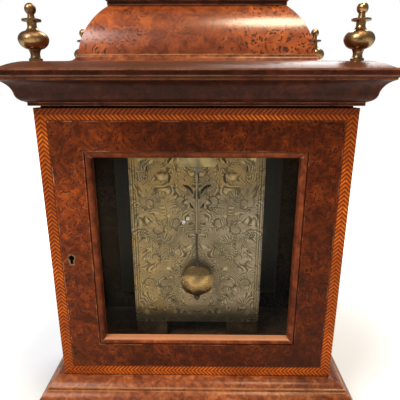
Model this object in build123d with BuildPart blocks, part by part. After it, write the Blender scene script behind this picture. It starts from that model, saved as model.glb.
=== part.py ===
"""Bracket clock with a glazed back door, a bell top and a fusee timepiece movement.

Millimetres, +Z up. The dial faces -Y and the back door faces +Y. The origin is on the surface
that the feet stand on, under the middle of the case.
"""

from build123d import *
from math import asin, atan2, cos, degrees, hypot, pi, radians, sin, sqrt
import os

# Case
CASE_WIDTH = 250.0
CASE_DEPTH = 150.0  # outer face of one door to outer face of the other
DOOR_HEIGHT = 242.4
DOOR_THICK = 16.0
STILE_WIDTH = 35.8
TOP_RAIL = 33.2
BOTTOM_RAIL = 32.8
SIDE_THICK = 14.0
BOARD_THICK = 9.0
FIT = 0.3  # clearance between separate bodies
DOOR_SILL = 0.6  # gap under each door
DOOR_GAP = 1.6  # gap over each door
FOOT_HEIGHT = 14.0
FOOT_SIZE = 34.0
FOOT_INSET = 3.0
BASE_HEIGHT = 35.4
BASE_OVERHANG = 22.0
CORNICE_HEIGHT = 31.6
CORNICE_OVERHANG = 21.0
SKIRT_HEIGHT = 7.0
SKIRT_INSET = 22.0
BELL_INSET = 30.0
BELL_HEIGHT = 38.7
BELL_TOP_INSET = 52.4
BEAD_HEIGHT = 12.0
BEAD_INSET = 47.5
NECK_HEIGHT = 22.0
NECK_INSET = 53.0
NECK_TOP_INSET = 60.0
PAD_HEIGHT = 6.0
PAD_INSET = 56.0
WINDOW_WIDTH = 62.0
WINDOW_HEIGHT = 150.0
WINDOW_MOULDING = 4.0

# Doors
INLAY_WIDTH = 9.6
INLAY_THICK = 1.0
SIGHT_WIDTH = 5.3
SIGHT_DEPTH = 8.0
SIGHT_SET_BACK = 1.0
GLASS_SET_BACK = 9.0
GLASS_THICK = 2.0
GLASS_REBATE = 4.0
GLASS_PLAY = 0.5
KEYHOLE_INSET = 17.8  # from the door's edge to the keyhole's centre
KEYHOLE_RISE = 118.5  # above the door's lower edge
KEYHOLE_RADIUS = 2.4
KEYHOLE_SLOT = 2.4
KEYHOLE_DROP = 5.6
ESCUTCHEON_WALL = 0.8
ESCUTCHEON_THICK = 3.0
LOCK_WIDTH = 20.0
LOCK_HEIGHT = 30.0
LOCK_DEPTH = 8.0
LOCK_CLEARANCE = 0.7
BOLT_LENGTH = 12.0
BOLT_HEIGHT = 12.0
BOLT_THICK = 2.4
BOLT_THROW = 4.0
HINGE_HEIGHT = 30.0
HINGE_INSET = 42.0  # from the door's end to the hinge's middle
HINGE_LEAF_WIDTH = 10.0
HINGE_LEAF_THICK = 1.2
KNUCKLE_RADIUS = 1.9
HINGE_PIN_RADIUS = 1.1
PIN_CLEARANCE = 0.06

# Finials and handle
FINIAL_INSET = 5.0
FINIAL_HEIGHT = 39.5
FINIAL_FOOT_RADIUS = 5.0
FINIAL_BULB_RADIUS = 11.1
FINIAL_NECK_RADIUS = 3.4
FINIAL_COLLAR_RADIUS = 6.9
FINIAL_BALL_RADIUS = 4.1
POST_SPAN = 72.0
POST_RADIUS = 4.5
POST_FOOT_RADIUS = 6.5
PIVOT_RISE = 9.0
HANDLE_PIN_RADIUS = 1.6
HANDLE_RADIUS = 2.6
HANDLE_EYE_RADIUS = 3.8
HANDLE_EYE_WIDTH = 4.0
HANDLE_REACH = 36.0
HANDLE_BEND = 15.0
GRIP_RADIUS = 4.6
GRIP_LENGTH = 34.0

# Movement
PLATE_WIDTH = 121.0
PLATE_HEIGHT = 172.0
PLATE_THICK = 3.0
PLATE_SET_BACK = 35.0  # back plate's outer face behind the back door's outer face
PLATE_RISE = 36.6  # plates' lower edge above the door's lower edge
PILLAR_RADIUS = 4.0
TENON_RADIUS = 2.5
PILLAR_INSET = 11.0
SCREW_HEAD_RADIUS = 4.0
SCREW_HEAD = 1.8
RAIL_HEIGHT = 15.5
RAIL_WIDTH = 30.0
RAIL_SPREAD = 45.0  # middle of the clock to the middle of each seat rail
SEAT_THICK = 10.0
ARBOR_RADIUS = 1.6
HEAVY_ARBOR_RADIUS = 2.5
PIVOT_RADIUS = 0.9
PIVOT_CLEARANCE = 0.05
WHEEL_THICK = 1.8
SPOKE_WIDTH = 2.4
GREAT_TEETH, CENTRE_PINION = 96, 8
CENTRE_TEETH, THIRD_PINION = 84, 7
THIRD_TEETH, ESCAPE_PINION = 84, 6
CANNON_TEETH, MINUTE_TEETH = 30, 40
MINUTE_PINION, HOUR_TEETH = 8, 72
ESCAPE_TEETH = 32
GREAT_MODULE, CENTRE_MODULE, THIRD_MODULE = 0.58, 0.6, 0.5
MOTION_DISTANCE = 23.4  # centre arbor to the minute wheel's stud
GREAT_BEARING = -51.5  # degrees, seen from the front
THIRD_BEARING = 77.0
STUD_RADIUS = 0.9
STUD_LENGTH = 13.0
PIPE_RADIUS = 2.2
HOUR_PIPE_RADIUS = 3.2
BARREL_RADIUS = 20.0
BARREL_SPARE = 16.0  # plate gap left over beside the barrel
BARREL_OFFSET = (-47.6, -24.3)  # from the fusee's arbor
FUSEE_LARGE, FUSEE_SMALL = 17.0, 9.0
FUSEE_SPARE = 22.0  # plate gap left over beside the fusee's cone
WINDING_SQUARE = 3.2
ESCAPE_SPAN = 8.5  # escape teeth between the pallets
ESCAPE_TOOTH = 2.8
PALLET_CLEARANCE = 1.8
PALLET_THICK = 3.0
CRUTCH_LENGTH = 34.0
CRUTCH_WIDTH = 2.4
CRUTCH_THICK = 1.4
COCK_WIDTH = 34.0
COCK_HEIGHT = 13.0
COCK_THICK = 2.4
COCK_RISE = 4.4  # plate face to the underside of the cock's bridge

# Pendulum
PENDULUM_LENGTH = 111.4  # beats 10752 times an hour
BOB_RISE = 86.5  # bob's middle above the door's lower edge
BOB_RADIUS = 15.2
BOB_THICK = 9.0
BOB_SET_BACK = 24.5  # bob's middle behind the back door's outer face
ROD_RADIUS = 0.9
SPRING_WIDTH = 3.4
SPRING_THICK = 0.4
SPRING_LENGTH = 12.0
RATING_NUT_RADIUS = 2.6

# Dial
DIAL_SIZE = 178.0
DIAL_THICK = 2.0
DIAL_GAP = 16.0  # front plate to dial
DIAL_SPACE = 23.0  # front door's inner face to the dial's face
DIAL_FOOT_RADIUS = 2.2
DIAL_FOOT_SPREAD = 50.0
CHAPTER_OUTER = 80.0
CHAPTER_INNER = 56.0
CHAPTER_THICK = 1.2
SPANDREL_THICK = 1.6
MASK_OVERLAP = 2.0
MASK_THICK = 8.0
WINDING_HOLE_RADIUS = 5.0
HOUR_HAND_LENGTH = 50.0
MINUTE_HAND_LENGTH = 74.0
HAND_THICK = 1.0
HAND_GAP = 1.6

# Places worked out from the sizes above
DOOR_Z = FOOT_HEIGHT + BASE_HEIGHT + DOOR_SILL
BASE_TOP = DOOR_Z - DOOR_SILL
DOOR_MIDDLE = DOOR_Z + DOOR_HEIGHT / 2
CASE_TOP = DOOR_Z + DOOR_HEIGHT + DOOR_GAP
CORNICE_TOP = CASE_TOP + CORNICE_HEIGHT
BELL_Z = CORNICE_TOP + SKIRT_HEIGHT
BEAD_Z = BELL_Z + BELL_HEIGHT
NECK_Z = BEAD_Z + BEAD_HEIGHT
PAD_Z = NECK_Z + NECK_HEIGHT
PAD_TOP = PAD_Z + PAD_HEIGHT
PIVOT_Z = PAD_TOP + PIVOT_RISE
HALF_WIDTH = CASE_WIDTH / 2
HALF_DEPTH = CASE_DEPTH / 2
DOOR_BACK = HALF_DEPTH - DOOR_THICK  # inner face of each door
CARCASS_END = DOOR_BACK - FIT
INNER_WIDTH = CASE_WIDTH - 2 * SIDE_THICK
APERTURE_WIDTH = CASE_WIDTH - 2 * STILE_WIDTH
APERTURE_HEIGHT = DOOR_HEIGHT - TOP_RAIL - BOTTOM_RAIL
APERTURE_Z = DOOR_Z + BOTTOM_RAIL + APERTURE_HEIGHT / 2
BACK_OUTER = HALF_DEPTH - PLATE_SET_BACK
BACK_INNER = BACK_OUTER - PLATE_THICK
DIAL_FACE = DIAL_SPACE - DOOR_BACK
DIAL_BACK = DIAL_FACE + DIAL_THICK
FRONT_OUTER = DIAL_BACK + DIAL_GAP
FRONT_INNER = FRONT_OUTER + PLATE_THICK
PLATE_GAP = BACK_INNER - FRONT_INNER
FUSEE_LENGTH = PLATE_GAP - FUSEE_SPARE
BARREL_LENGTH = PLATE_GAP - BARREL_SPARE
HOUR_HAND_Y = DIAL_FACE - CHAPTER_THICK - HAND_GAP - HAND_THICK
MINUTE_HAND_Y = HOUR_HAND_Y - HAND_GAP - HAND_THICK
PLATE_Z = DOOR_Z + PLATE_RISE
SEAT_TOP = PLATE_Z - RAIL_HEIGHT
BOB_Y = HALF_DEPTH - BOB_SET_BACK
AXIS_X = -(HALF_WIDTH + KNUCKLE_RADIUS + 0.1)  # back door's hinge axis
AXIS_Y = DOOR_BACK - FIT / 2
CANNON_MODULE = 2 * MOTION_DISTANCE / (CANNON_TEETH + MINUTE_TEETH)
HOUR_MODULE = 2 * MOTION_DISTANCE / (MINUTE_PINION + HOUR_TEETH)
GREAT_DISTANCE = (GREAT_TEETH + CENTRE_PINION) * GREAT_MODULE / 2
CENTRE_DISTANCE = (CENTRE_TEETH + THIRD_PINION) * CENTRE_MODULE / 2
THIRD_DISTANCE = (THIRD_TEETH + ESCAPE_PINION) * THIRD_MODULE / 2


def beside(point, distance, bearing):
    """The point at a distance and a bearing, in degrees, from another."""
    turn = radians(bearing)
    return (point[0] + distance * cos(turn), point[1] + distance * sin(turn))


# Arbors, as (x, z)
CENTRE = (0.0, APERTURE_Z)
FUSEE = beside(CENTRE, GREAT_DISTANCE, GREAT_BEARING)
BARREL = (FUSEE[0] + BARREL_OFFSET[0], FUSEE[1] + BARREL_OFFSET[1])
THIRD = beside(CENTRE, CENTRE_DISTANCE, THIRD_BEARING)
ESCAPE = (0.0, THIRD[1] + sqrt(THIRD_DISTANCE**2 - THIRD[0] ** 2))
PALLET = (0.0, DOOR_Z + BOB_RISE + PENDULUM_LENGTH)
STUD = (CENTRE[0] - MOTION_DISTANCE, CENTRE[1])
ESCAPE_HALF = ESCAPE_SPAN * pi / ESCAPE_TEETH
ESCAPE_DROP = PALLET[1] - ESCAPE[1]
ESCAPE_RADIUS = ESCAPE_DROP * cos(ESCAPE_HALF)

# Depths of the wheels' front faces
GREAT_Y = FRONT_INNER + 3.0
CENTRE_WHEEL_Y = BACK_INNER - 13.0
THIRD_WHEEL_Y = BACK_INNER - 27.0
ESCAPE_WHEEL_Y = BACK_INNER - 7.0
CANNON_Y = FRONT_OUTER - 4.0
HOUR_WHEEL_Y = FRONT_OUTER - 8.0


def save(part, name):
    """Labels a finished piece and writes it."""
    os.makedirs("parts", exist_ok=True)
    part.label = name
    export_step(part, f"parts/{name}.step")


def moulded_block(outline, half_width, half_depth):
    """A mitred moulding round a rectangle: outline(half) draws half of its section."""
    reach = 2 * max(half_width, half_depth)
    with BuildPart() as block:
        with BuildSketch(Plane.XZ):
            with BuildLine():
                outline(half_width)
            make_face()
            mirror(about=Plane.YZ)
        extrude(amount=reach, both=True)
        with BuildSketch(Plane.YZ):
            with BuildLine():
                outline(half_depth)
            make_face()
            mirror(about=Plane.YZ)
        extrude(amount=reach, both=True, mode=Mode.INTERSECT)
    return block.part


def board(name, low, high, edge=0.4):
    """A squared board between two corners, with its edges just broken."""
    size = [h - l for l, h in zip(low, high)]
    middle = tuple((l + h) / 2 for l, h in zip(low, high))
    with BuildPart() as piece:
        with Locations(middle):
            Box(*size)
        fillet(piece.edges(), edge)
    save(piece.part, name)


def turned(origin, outline):
    """Revolves a half section, drawn from an upright axis outwards, at an origin."""
    with BuildSketch(Plane(origin=origin, x_dir=(1, 0, 0), z_dir=(0, -1, 0))) as section:
        with BuildLine():
            outline()
        make_face()
    revolve(section.sketch, axis=Axis(origin, (0, 0, 1)))


def at(point, y, turn=0.0):
    """A plane on an arbor at depth y, seen from the front and turned clockwise, in degrees."""
    across = (cos(radians(turn)), 0, -sin(radians(turn)))
    return Plane(origin=(point[0], y, point[1]), x_dir=across, z_dir=(0, -1, 0))


def rod(point, y_low, y_high, radius, mode=Mode.ADD):
    """A round bar, or a hole, along an arbor between two depths."""
    with BuildSketch(at(point, y_low)) as section:
        Circle(radius)
    extrude(section.sketch, amount=y_low - y_high, mode=mode)


def toothed(teeth, module, phase, shares, addendum, dedendum=1.3):
    """Draws a toothed outline with the middle of a tooth at the phase angle."""
    pitch = teeth * module / 2
    root_share, pitch_share, tip_share = shares
    tip, root = pitch + addendum * module, pitch - dedendum * module
    flank = [(root, -root_share), (pitch, -pitch_share), (tip, -tip_share)]
    flank += [(tip, tip_share), (pitch, pitch_share), (root, root_share)]
    step = 2 * pi / teeth
    points = []
    for k in range(teeth):
        for radius, share in flank:
            turn = phase + (k + share) * step
            points.append((radius * cos(turn), radius * sin(turn)))
    Polygon(*points, align=None)


def wheel(teeth, module, phase, point, y, hub=5.0, spokes=4):
    """A crossed-out wheel whose front face lies at depth y."""
    rim = teeth * module / 2 - 1.3 * module - 2.2
    with BuildSketch(at(point, y)) as section:
        toothed(teeth, module, phase, (0.24, 0.19, 0.07), 0.75)
        Circle(rim, mode=Mode.SUBTRACT)
        Circle(hub)
        with PolarLocations(0, spokes):
            Rectangle(rim + 0.8, SPOKE_WIDTH, align=(Align.MIN, Align.CENTER))
    extrude(section.sketch, amount=-WHEEL_THICK)


def pinion(teeth, module, phase, point, y_low, y_high):
    with BuildSketch(at(point, y_low)) as section:
        toothed(teeth, module, phase, (0.16, 0.13, 0.06), 0.7)
    extrude(section.sketch, amount=y_low - y_high)


def meshing(phase, teeth, bearing, other_teeth):
    """Phase of a gear that meshes, at a bearing in degrees, with one whose tooth is at phase."""
    line = radians(bearing)
    offset = (phase - line) % (2 * pi / teeth)
    return line + pi - offset * teeth / other_teeth + pi / other_teeth


def bearing_of(start, end):
    return degrees(atan2(end[1] - start[1], end[0] - start[0]))


# Base and feet


def base_outline(half):
    thumb_out, thumb_drop = 11.5, 5.2
    fillet_out, fillet_drop = 12.6, 8.4
    round_out, round_drop = 18.6, 13.2
    straight_drop = 20.0
    face = half + BASE_OVERHANG
    thumb_radius = (thumb_out**2 + thumb_drop**2) / (2 * thumb_drop)
    Line((0, BASE_TOP), (half + 1.0, BASE_TOP))
    RadiusArc((half + 1.0, BASE_TOP), (half + thumb_out, BASE_TOP - thumb_drop), thumb_radius)
    Polyline(
        (half + thumb_out, BASE_TOP - thumb_drop),
        (half + fillet_out, BASE_TOP - thumb_drop),
        (half + fillet_out, BASE_TOP - fillet_drop),
    )
    ThreePointArc(
        (half + fillet_out, BASE_TOP - fillet_drop),
        (half + round_out, BASE_TOP - round_drop),
        (face - 0.6, BASE_TOP - straight_drop),
    )
    Polyline(
        (face - 0.6, BASE_TOP - straight_drop),
        (face, BASE_TOP - straight_drop),
        (face, FOOT_HEIGHT),
        (0, FOOT_HEIGHT),
        (0, BASE_TOP),
    )


def make_base():
    block = moulded_block(base_outline, HALF_WIDTH, HALF_DEPTH)
    with BuildPart() as base:
        add(block)
        with BuildSketch(Plane.XY.offset(FOOT_HEIGHT)):
            Rectangle(INNER_WIDTH, 2 * CARCASS_END)
        extrude(amount=BASE_HEIGHT, mode=Mode.SUBTRACT)
    save(base.part, "base_moulding")
    half = INNER_WIDTH / 2
    board("base_board", (-half, -CARCASS_END, BASE_TOP - BOARD_THICK), (half, CARCASS_END, BASE_TOP))
    spread_x = HALF_WIDTH + BASE_OVERHANG - FOOT_INSET - FOOT_SIZE / 2
    spread_y = HALF_DEPTH + BASE_OVERHANG - FOOT_INSET - FOOT_SIZE / 2
    with BuildPart() as feet:
        with BuildSketch():
            with GridLocations(2 * spread_x, 2 * spread_y, 2, 2):
                RectangleRounded(FOOT_SIZE, FOOT_SIZE, 3.0)
        extrude(amount=FOOT_HEIGHT)
        chamfer(feet.faces().filter_by(Axis.Z).group_by(Axis.Z)[0].edges(), 1.0)
    save(feet.part, "feet")


# Sides and top


def hinge_heights():
    return DOOR_Z + HINGE_INSET, DOOR_Z + DOOR_HEIGHT - HINGE_INSET


def make_sides():
    """The right side is made first, and the left one is the same piece turned half round."""
    face = Plane(origin=(HALF_WIDTH, 0, APERTURE_Z), x_dir=(0, 1, 0), z_dir=(1, 0, 0))
    pane_width = WINDOW_WIDTH + 2 * GLASS_REBATE
    pane_height = WINDOW_HEIGHT + 2 * GLASS_REBATE
    glass_depth = SIDE_THICK - GLASS_THICK - 1.0
    with BuildPart() as side:
        with Locations((HALF_WIDTH - SIDE_THICK / 2, 0, (BASE_TOP + CASE_TOP) / 2)):
            Box(SIDE_THICK, 2 * CARCASS_END, CASE_TOP - BASE_TOP)
        with BuildSketch(face):
            Rectangle(WINDOW_WIDTH, WINDOW_HEIGHT)
        extrude(amount=-SIDE_THICK, mode=Mode.SUBTRACT)
        with BuildSketch(face.offset(-glass_depth)):
            Rectangle(pane_width, pane_height)
        extrude(amount=-SIDE_THICK, mode=Mode.SUBTRACT)
        for z in hinge_heights():
            with Locations((HALF_WIDTH, -CARCASS_END, z)):
                Box(2 * HINGE_LEAF_WIDTH, 2 * HINGE_LEAF_THICK, HINGE_HEIGHT, mode=Mode.SUBTRACT)
        with Locations((INNER_WIDTH / 2, DOOR_BACK - LOCK_DEPTH / 2, DOOR_Z + KEYHOLE_RISE)):
            Box(
                2 * (BOLT_THROW + FIT), BOLT_THICK + 2 * FIT, BOLT_HEIGHT + 2 * FIT,
                mode=Mode.SUBTRACT,
            )
    with BuildPart() as sight:
        with BuildSketch(face):
            Rectangle(WINDOW_WIDTH, WINDOW_HEIGHT)
            Rectangle(
                WINDOW_WIDTH - 2 * WINDOW_MOULDING, WINDOW_HEIGHT - 2 * WINDOW_MOULDING,
                mode=Mode.SUBTRACT,
            )
        extrude(amount=-glass_depth)
        inner = sight.faces().sort_by(Axis.X)[-1].inner_wires()[0]
        fillet(inner.edges(), WINDOW_MOULDING - 0.6)
    with BuildPart() as pane:
        with BuildSketch(face.offset(-glass_depth)):
            Rectangle(pane_width - 2 * GLASS_PLAY, pane_height - 2 * GLASS_PLAY)
        extrude(amount=-GLASS_THICK)
    for name, piece in (("side", side), ("side_sight", sight), ("side_glass", pane)):
        save(piece.part.rotate(Axis.Z, 180), f"{name}_left")
        save(piece.part, f"{name}_right")


def cornice_outline(half):
    bead_out, bead_rise = 2.6, 2.4
    lip_rise, lip_top = 20.8, 26.1
    face = half + CORNICE_OVERHANG
    z = CASE_TOP
    Polyline(
        (0, z), (half + bead_out, z), (half + bead_out, z + bead_rise),
        (half + 4.4, z + bead_rise + 0.8),
    )
    ThreePointArc((half + 4.4, z + bead_rise + 0.8), (half + 8.0, z + 5.6), (half + 9.3, z + 8.8))
    ThreePointArc((half + 9.3, z + 8.8), (half + 11.8, z + 14.2), (half + 18.0, z + 18.2))
    Polyline(
        (half + 18.0, z + 18.2),
        (half + 18.0, z + 19.4),
        (face - 0.8, z + 20.0),
        (face, z + lip_rise),
        (face, z + lip_top - 1.1),
        (face - 1.2, z + lip_top),
        (half + 16.8, z + lip_top),
    )
    ThreePointArc((half + 16.8, z + lip_top), (half + 10.2, z + 29.4), (half + 2.0, CORNICE_TOP))
    Polyline((half + 2.0, CORNICE_TOP), (0, CORNICE_TOP), (0, z))


def skirt_outline(half):
    outer, upper = half - SKIRT_INSET, half - BELL_INSET + 0.8
    Polyline((0, CORNICE_TOP), (outer, CORNICE_TOP), (outer, CORNICE_TOP + 1.6))
    ThreePointArc((outer, CORNICE_TOP + 1.6), (upper + 1.8, CORNICE_TOP + 3.4), (upper, BELL_Z))
    Polyline((upper, BELL_Z), (0, BELL_Z), (0, CORNICE_TOP))


def bell_outline(half):
    swell = 6.2  # how far the stage's middle stands in from its foot
    Line((0, BELL_Z), (half - BELL_INSET, BELL_Z))
    ThreePointArc(
        (half - BELL_INSET, BELL_Z),
        (half - BELL_INSET - swell, BELL_Z + BELL_HEIGHT / 2),
        (half - BELL_TOP_INSET, BEAD_Z),
    )
    Polyline((half - BELL_TOP_INSET, BEAD_Z), (0, BEAD_Z), (0, BELL_Z))


def bead_outline(half):
    neck = half - BELL_TOP_INSET + 1.0
    band = 3.4
    Polyline((0, BEAD_Z), (neck, BEAD_Z), (neck, BEAD_Z + band))
    ThreePointArc(
        (neck, BEAD_Z + band), (half - BEAD_INSET, BEAD_Z + (band + BEAD_HEIGHT) / 2), (neck, NECK_Z)
    )
    Polyline((neck, NECK_Z), (0, NECK_Z), (0, BEAD_Z))


def neck_outline(half):
    Line((0, NECK_Z), (half - NECK_INSET, NECK_Z))
    ThreePointArc(
        (half - NECK_INSET, NECK_Z),
        (half - NECK_TOP_INSET + 1.2, NECK_Z + NECK_HEIGHT * 0.45),
        (half - NECK_TOP_INSET, PAD_Z),
    )
    Polyline((half - NECK_TOP_INSET, PAD_Z), (0, PAD_Z), (0, NECK_Z))


def pad_outline(half):
    shoulder = half - PAD_INSET - 2.0
    Line((0, PAD_Z), (shoulder, PAD_Z))
    ThreePointArc((shoulder, PAD_Z), (half - PAD_INSET, PAD_Z + PAD_HEIGHT / 2), (shoulder, PAD_TOP))
    Polyline((shoulder, PAD_TOP), (0, PAD_TOP), (0, PAD_Z))


def make_top():
    half = INNER_WIDTH / 2
    board("top_board", (-half, -CARCASS_END, CASE_TOP - BOARD_THICK), (half, CARCASS_END, CASE_TOP))
    stages = {
        "cornice": cornice_outline,
        "bell_skirt": skirt_outline,
        "bell": bell_outline,
        "bell_bead": bead_outline,
        "bell_neck": neck_outline,
        "top_pad": pad_outline,
    }
    for name, outline in stages.items():
        save(moulded_block(outline, HALF_WIDTH, HALF_DEPTH), name)


def finial_outline():
    ball_z = FINIAL_HEIGHT - FINIAL_BALL_RADIUS
    collar_z = ball_z - 7.4
    foot, bulb = FINIAL_FOOT_RADIUS, FINIAL_BULB_RADIUS
    neck, collar = FINIAL_NECK_RADIUS, FINIAL_COLLAR_RADIUS
    stem_top = (neck - 1.1, ball_z - sqrt(FINIAL_BALL_RADIUS**2 - (neck - 1.1) ** 2))
    Polyline((0, 0), (foot, 0), (foot, 1.8), (foot - 1.2, 2.6))
    ThreePointArc((foot - 1.2, 2.6), (foot - 1.5, 5.4), (foot - 0.3, 8.4))
    ThreePointArc((foot - 0.3, 8.4), (bulb - 1.4, 11.4), (bulb, 15.2))
    ThreePointArc((bulb, 15.2), (bulb - 1.7, 18.8), (neck + 2.6, 20.6))
    ThreePointArc((neck + 2.6, 20.6), (neck + 0.4, 22.6), (neck, 25.4))
    Polyline(
        (neck, 25.4), (neck, collar_z - 1.4), (collar, collar_z - 0.6), (collar, collar_z + 0.6),
        (neck - 0.8, collar_z + 1.6), stem_top,
    )
    ThreePointArc(stem_top, (FINIAL_BALL_RADIUS, ball_z), (0, FINIAL_HEIGHT))
    Line((0, FINIAL_HEIGHT), (0, 0))


def make_finials():
    with BuildPart() as finials:
        for x in (FINIAL_INSET - HALF_WIDTH, HALF_WIDTH - FINIAL_INSET):
            for y in (FINIAL_INSET - HALF_DEPTH, HALF_DEPTH - FINIAL_INSET):
                turned((x, y, CORNICE_TOP), finial_outline)
    save(finials.part, "finials")


# Handle


def post_outline():
    foot, shank = POST_FOOT_RADIUS, POST_RADIUS - 1.0
    shank_top = (shank, PIVOT_RISE - sqrt(POST_RADIUS**2 - shank**2))
    Polyline((0, 0), (foot, 0), (foot, 1.4), (shank, 2.6), shank_top)
    ThreePointArc(shank_top, (POST_RADIUS, PIVOT_RISE), (0, PIVOT_RISE + POST_RADIUS))
    Line((0, PIVOT_RISE + POST_RADIUS), (0, 0))


def make_handle():
    """The bail rests forward on the pad's edge, and its pins turn in the two posts."""
    eye_out = POST_SPAN / 2 + POST_RADIUS + 1.0 + HANDLE_EYE_WIDTH
    arm_x = eye_out - HANDLE_EYE_WIDTH / 2
    pin_length = eye_out - POST_SPAN / 2 + POST_RADIUS - 1.0
    edge_y = HALF_DEPTH - PAD_INSET - 2.0
    lean = atan2(PIVOT_RISE, edge_y) - asin((HANDLE_RADIUS + FIT) / hypot(edge_y, PIVOT_RISE))
    bail = Plane(origin=(0, 0, PIVOT_Z), x_dir=(1, 0, 0), z_dir=(0, sin(lean), -cos(lean)))
    with BuildPart() as posts:
        for x in (-POST_SPAN / 2, POST_SPAN / 2):
            turned((x, 0, PAD_TOP), post_outline)
        with BuildSketch(Plane(origin=(-POST_SPAN, 0, PIVOT_Z), z_dir=(1, 0, 0))):
            Circle(HANDLE_PIN_RADIUS + PIN_CLEARANCE)
        extrude(amount=2 * POST_SPAN, mode=Mode.SUBTRACT)
    save(posts.part, "handle_posts")
    with BuildPart() as handle:
        with BuildLine(bail):
            FilletPolyline(
                (-arm_x, 0), (-arm_x, HANDLE_REACH), (arm_x, HANDLE_REACH), (arm_x, 0),
                radius=HANDLE_BEND,
            )
        with BuildSketch(Plane(origin=(-arm_x, 0, PIVOT_Z), z_dir=bail.y_dir)):
            Circle(HANDLE_RADIUS)
        sweep()
        with BuildSketch(bail):
            with BuildLine():
                Line((-GRIP_LENGTH / 2, HANDLE_REACH), (GRIP_LENGTH / 2, HANDLE_REACH))
                ThreePointArc(
                    (GRIP_LENGTH / 2, HANDLE_REACH),
                    (0, HANDLE_REACH + GRIP_RADIUS),
                    (-GRIP_LENGTH / 2, HANDLE_REACH),
                )
            make_face()
        revolve(axis=Axis(bail.from_local_coords((0, HANDLE_REACH, 0)), (1, 0, 0)))
        for side in (-1, 1):
            eye = Plane(origin=(side * eye_out, 0, PIVOT_Z), z_dir=(-side, 0, 0))
            with BuildSketch(eye):
                Circle(HANDLE_EYE_RADIUS)
            extrude(amount=HANDLE_EYE_WIDTH)
            with BuildSketch(eye):
                Circle(HANDLE_PIN_RADIUS)
            extrude(amount=pin_length)
    save(handle.part, "handle")


# Doors, made at the back; the front one is the same door turned half round


def keyhole(extra):
    """The keyhole's outline, grown by extra, on the door's outer face."""
    with Locations((KEYHOLE_INSET - HALF_WIDTH, DOOR_Z + KEYHOLE_RISE)):
        Circle(KEYHOLE_RADIUS + extra)
        Rectangle(KEYHOLE_SLOT + 2 * extra, KEYHOLE_DROP + extra, align=(Align.CENTER, Align.MAX))


def door_border():
    """The band round the door's outer face that the inlay fills."""
    with Locations((0, DOOR_MIDDLE)):
        Rectangle(CASE_WIDTH, DOOR_HEIGHT)
        Rectangle(
            CASE_WIDTH - 2 * INLAY_WIDTH, DOOR_HEIGHT - 2 * INLAY_WIDTH, mode=Mode.SUBTRACT
        )


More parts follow.
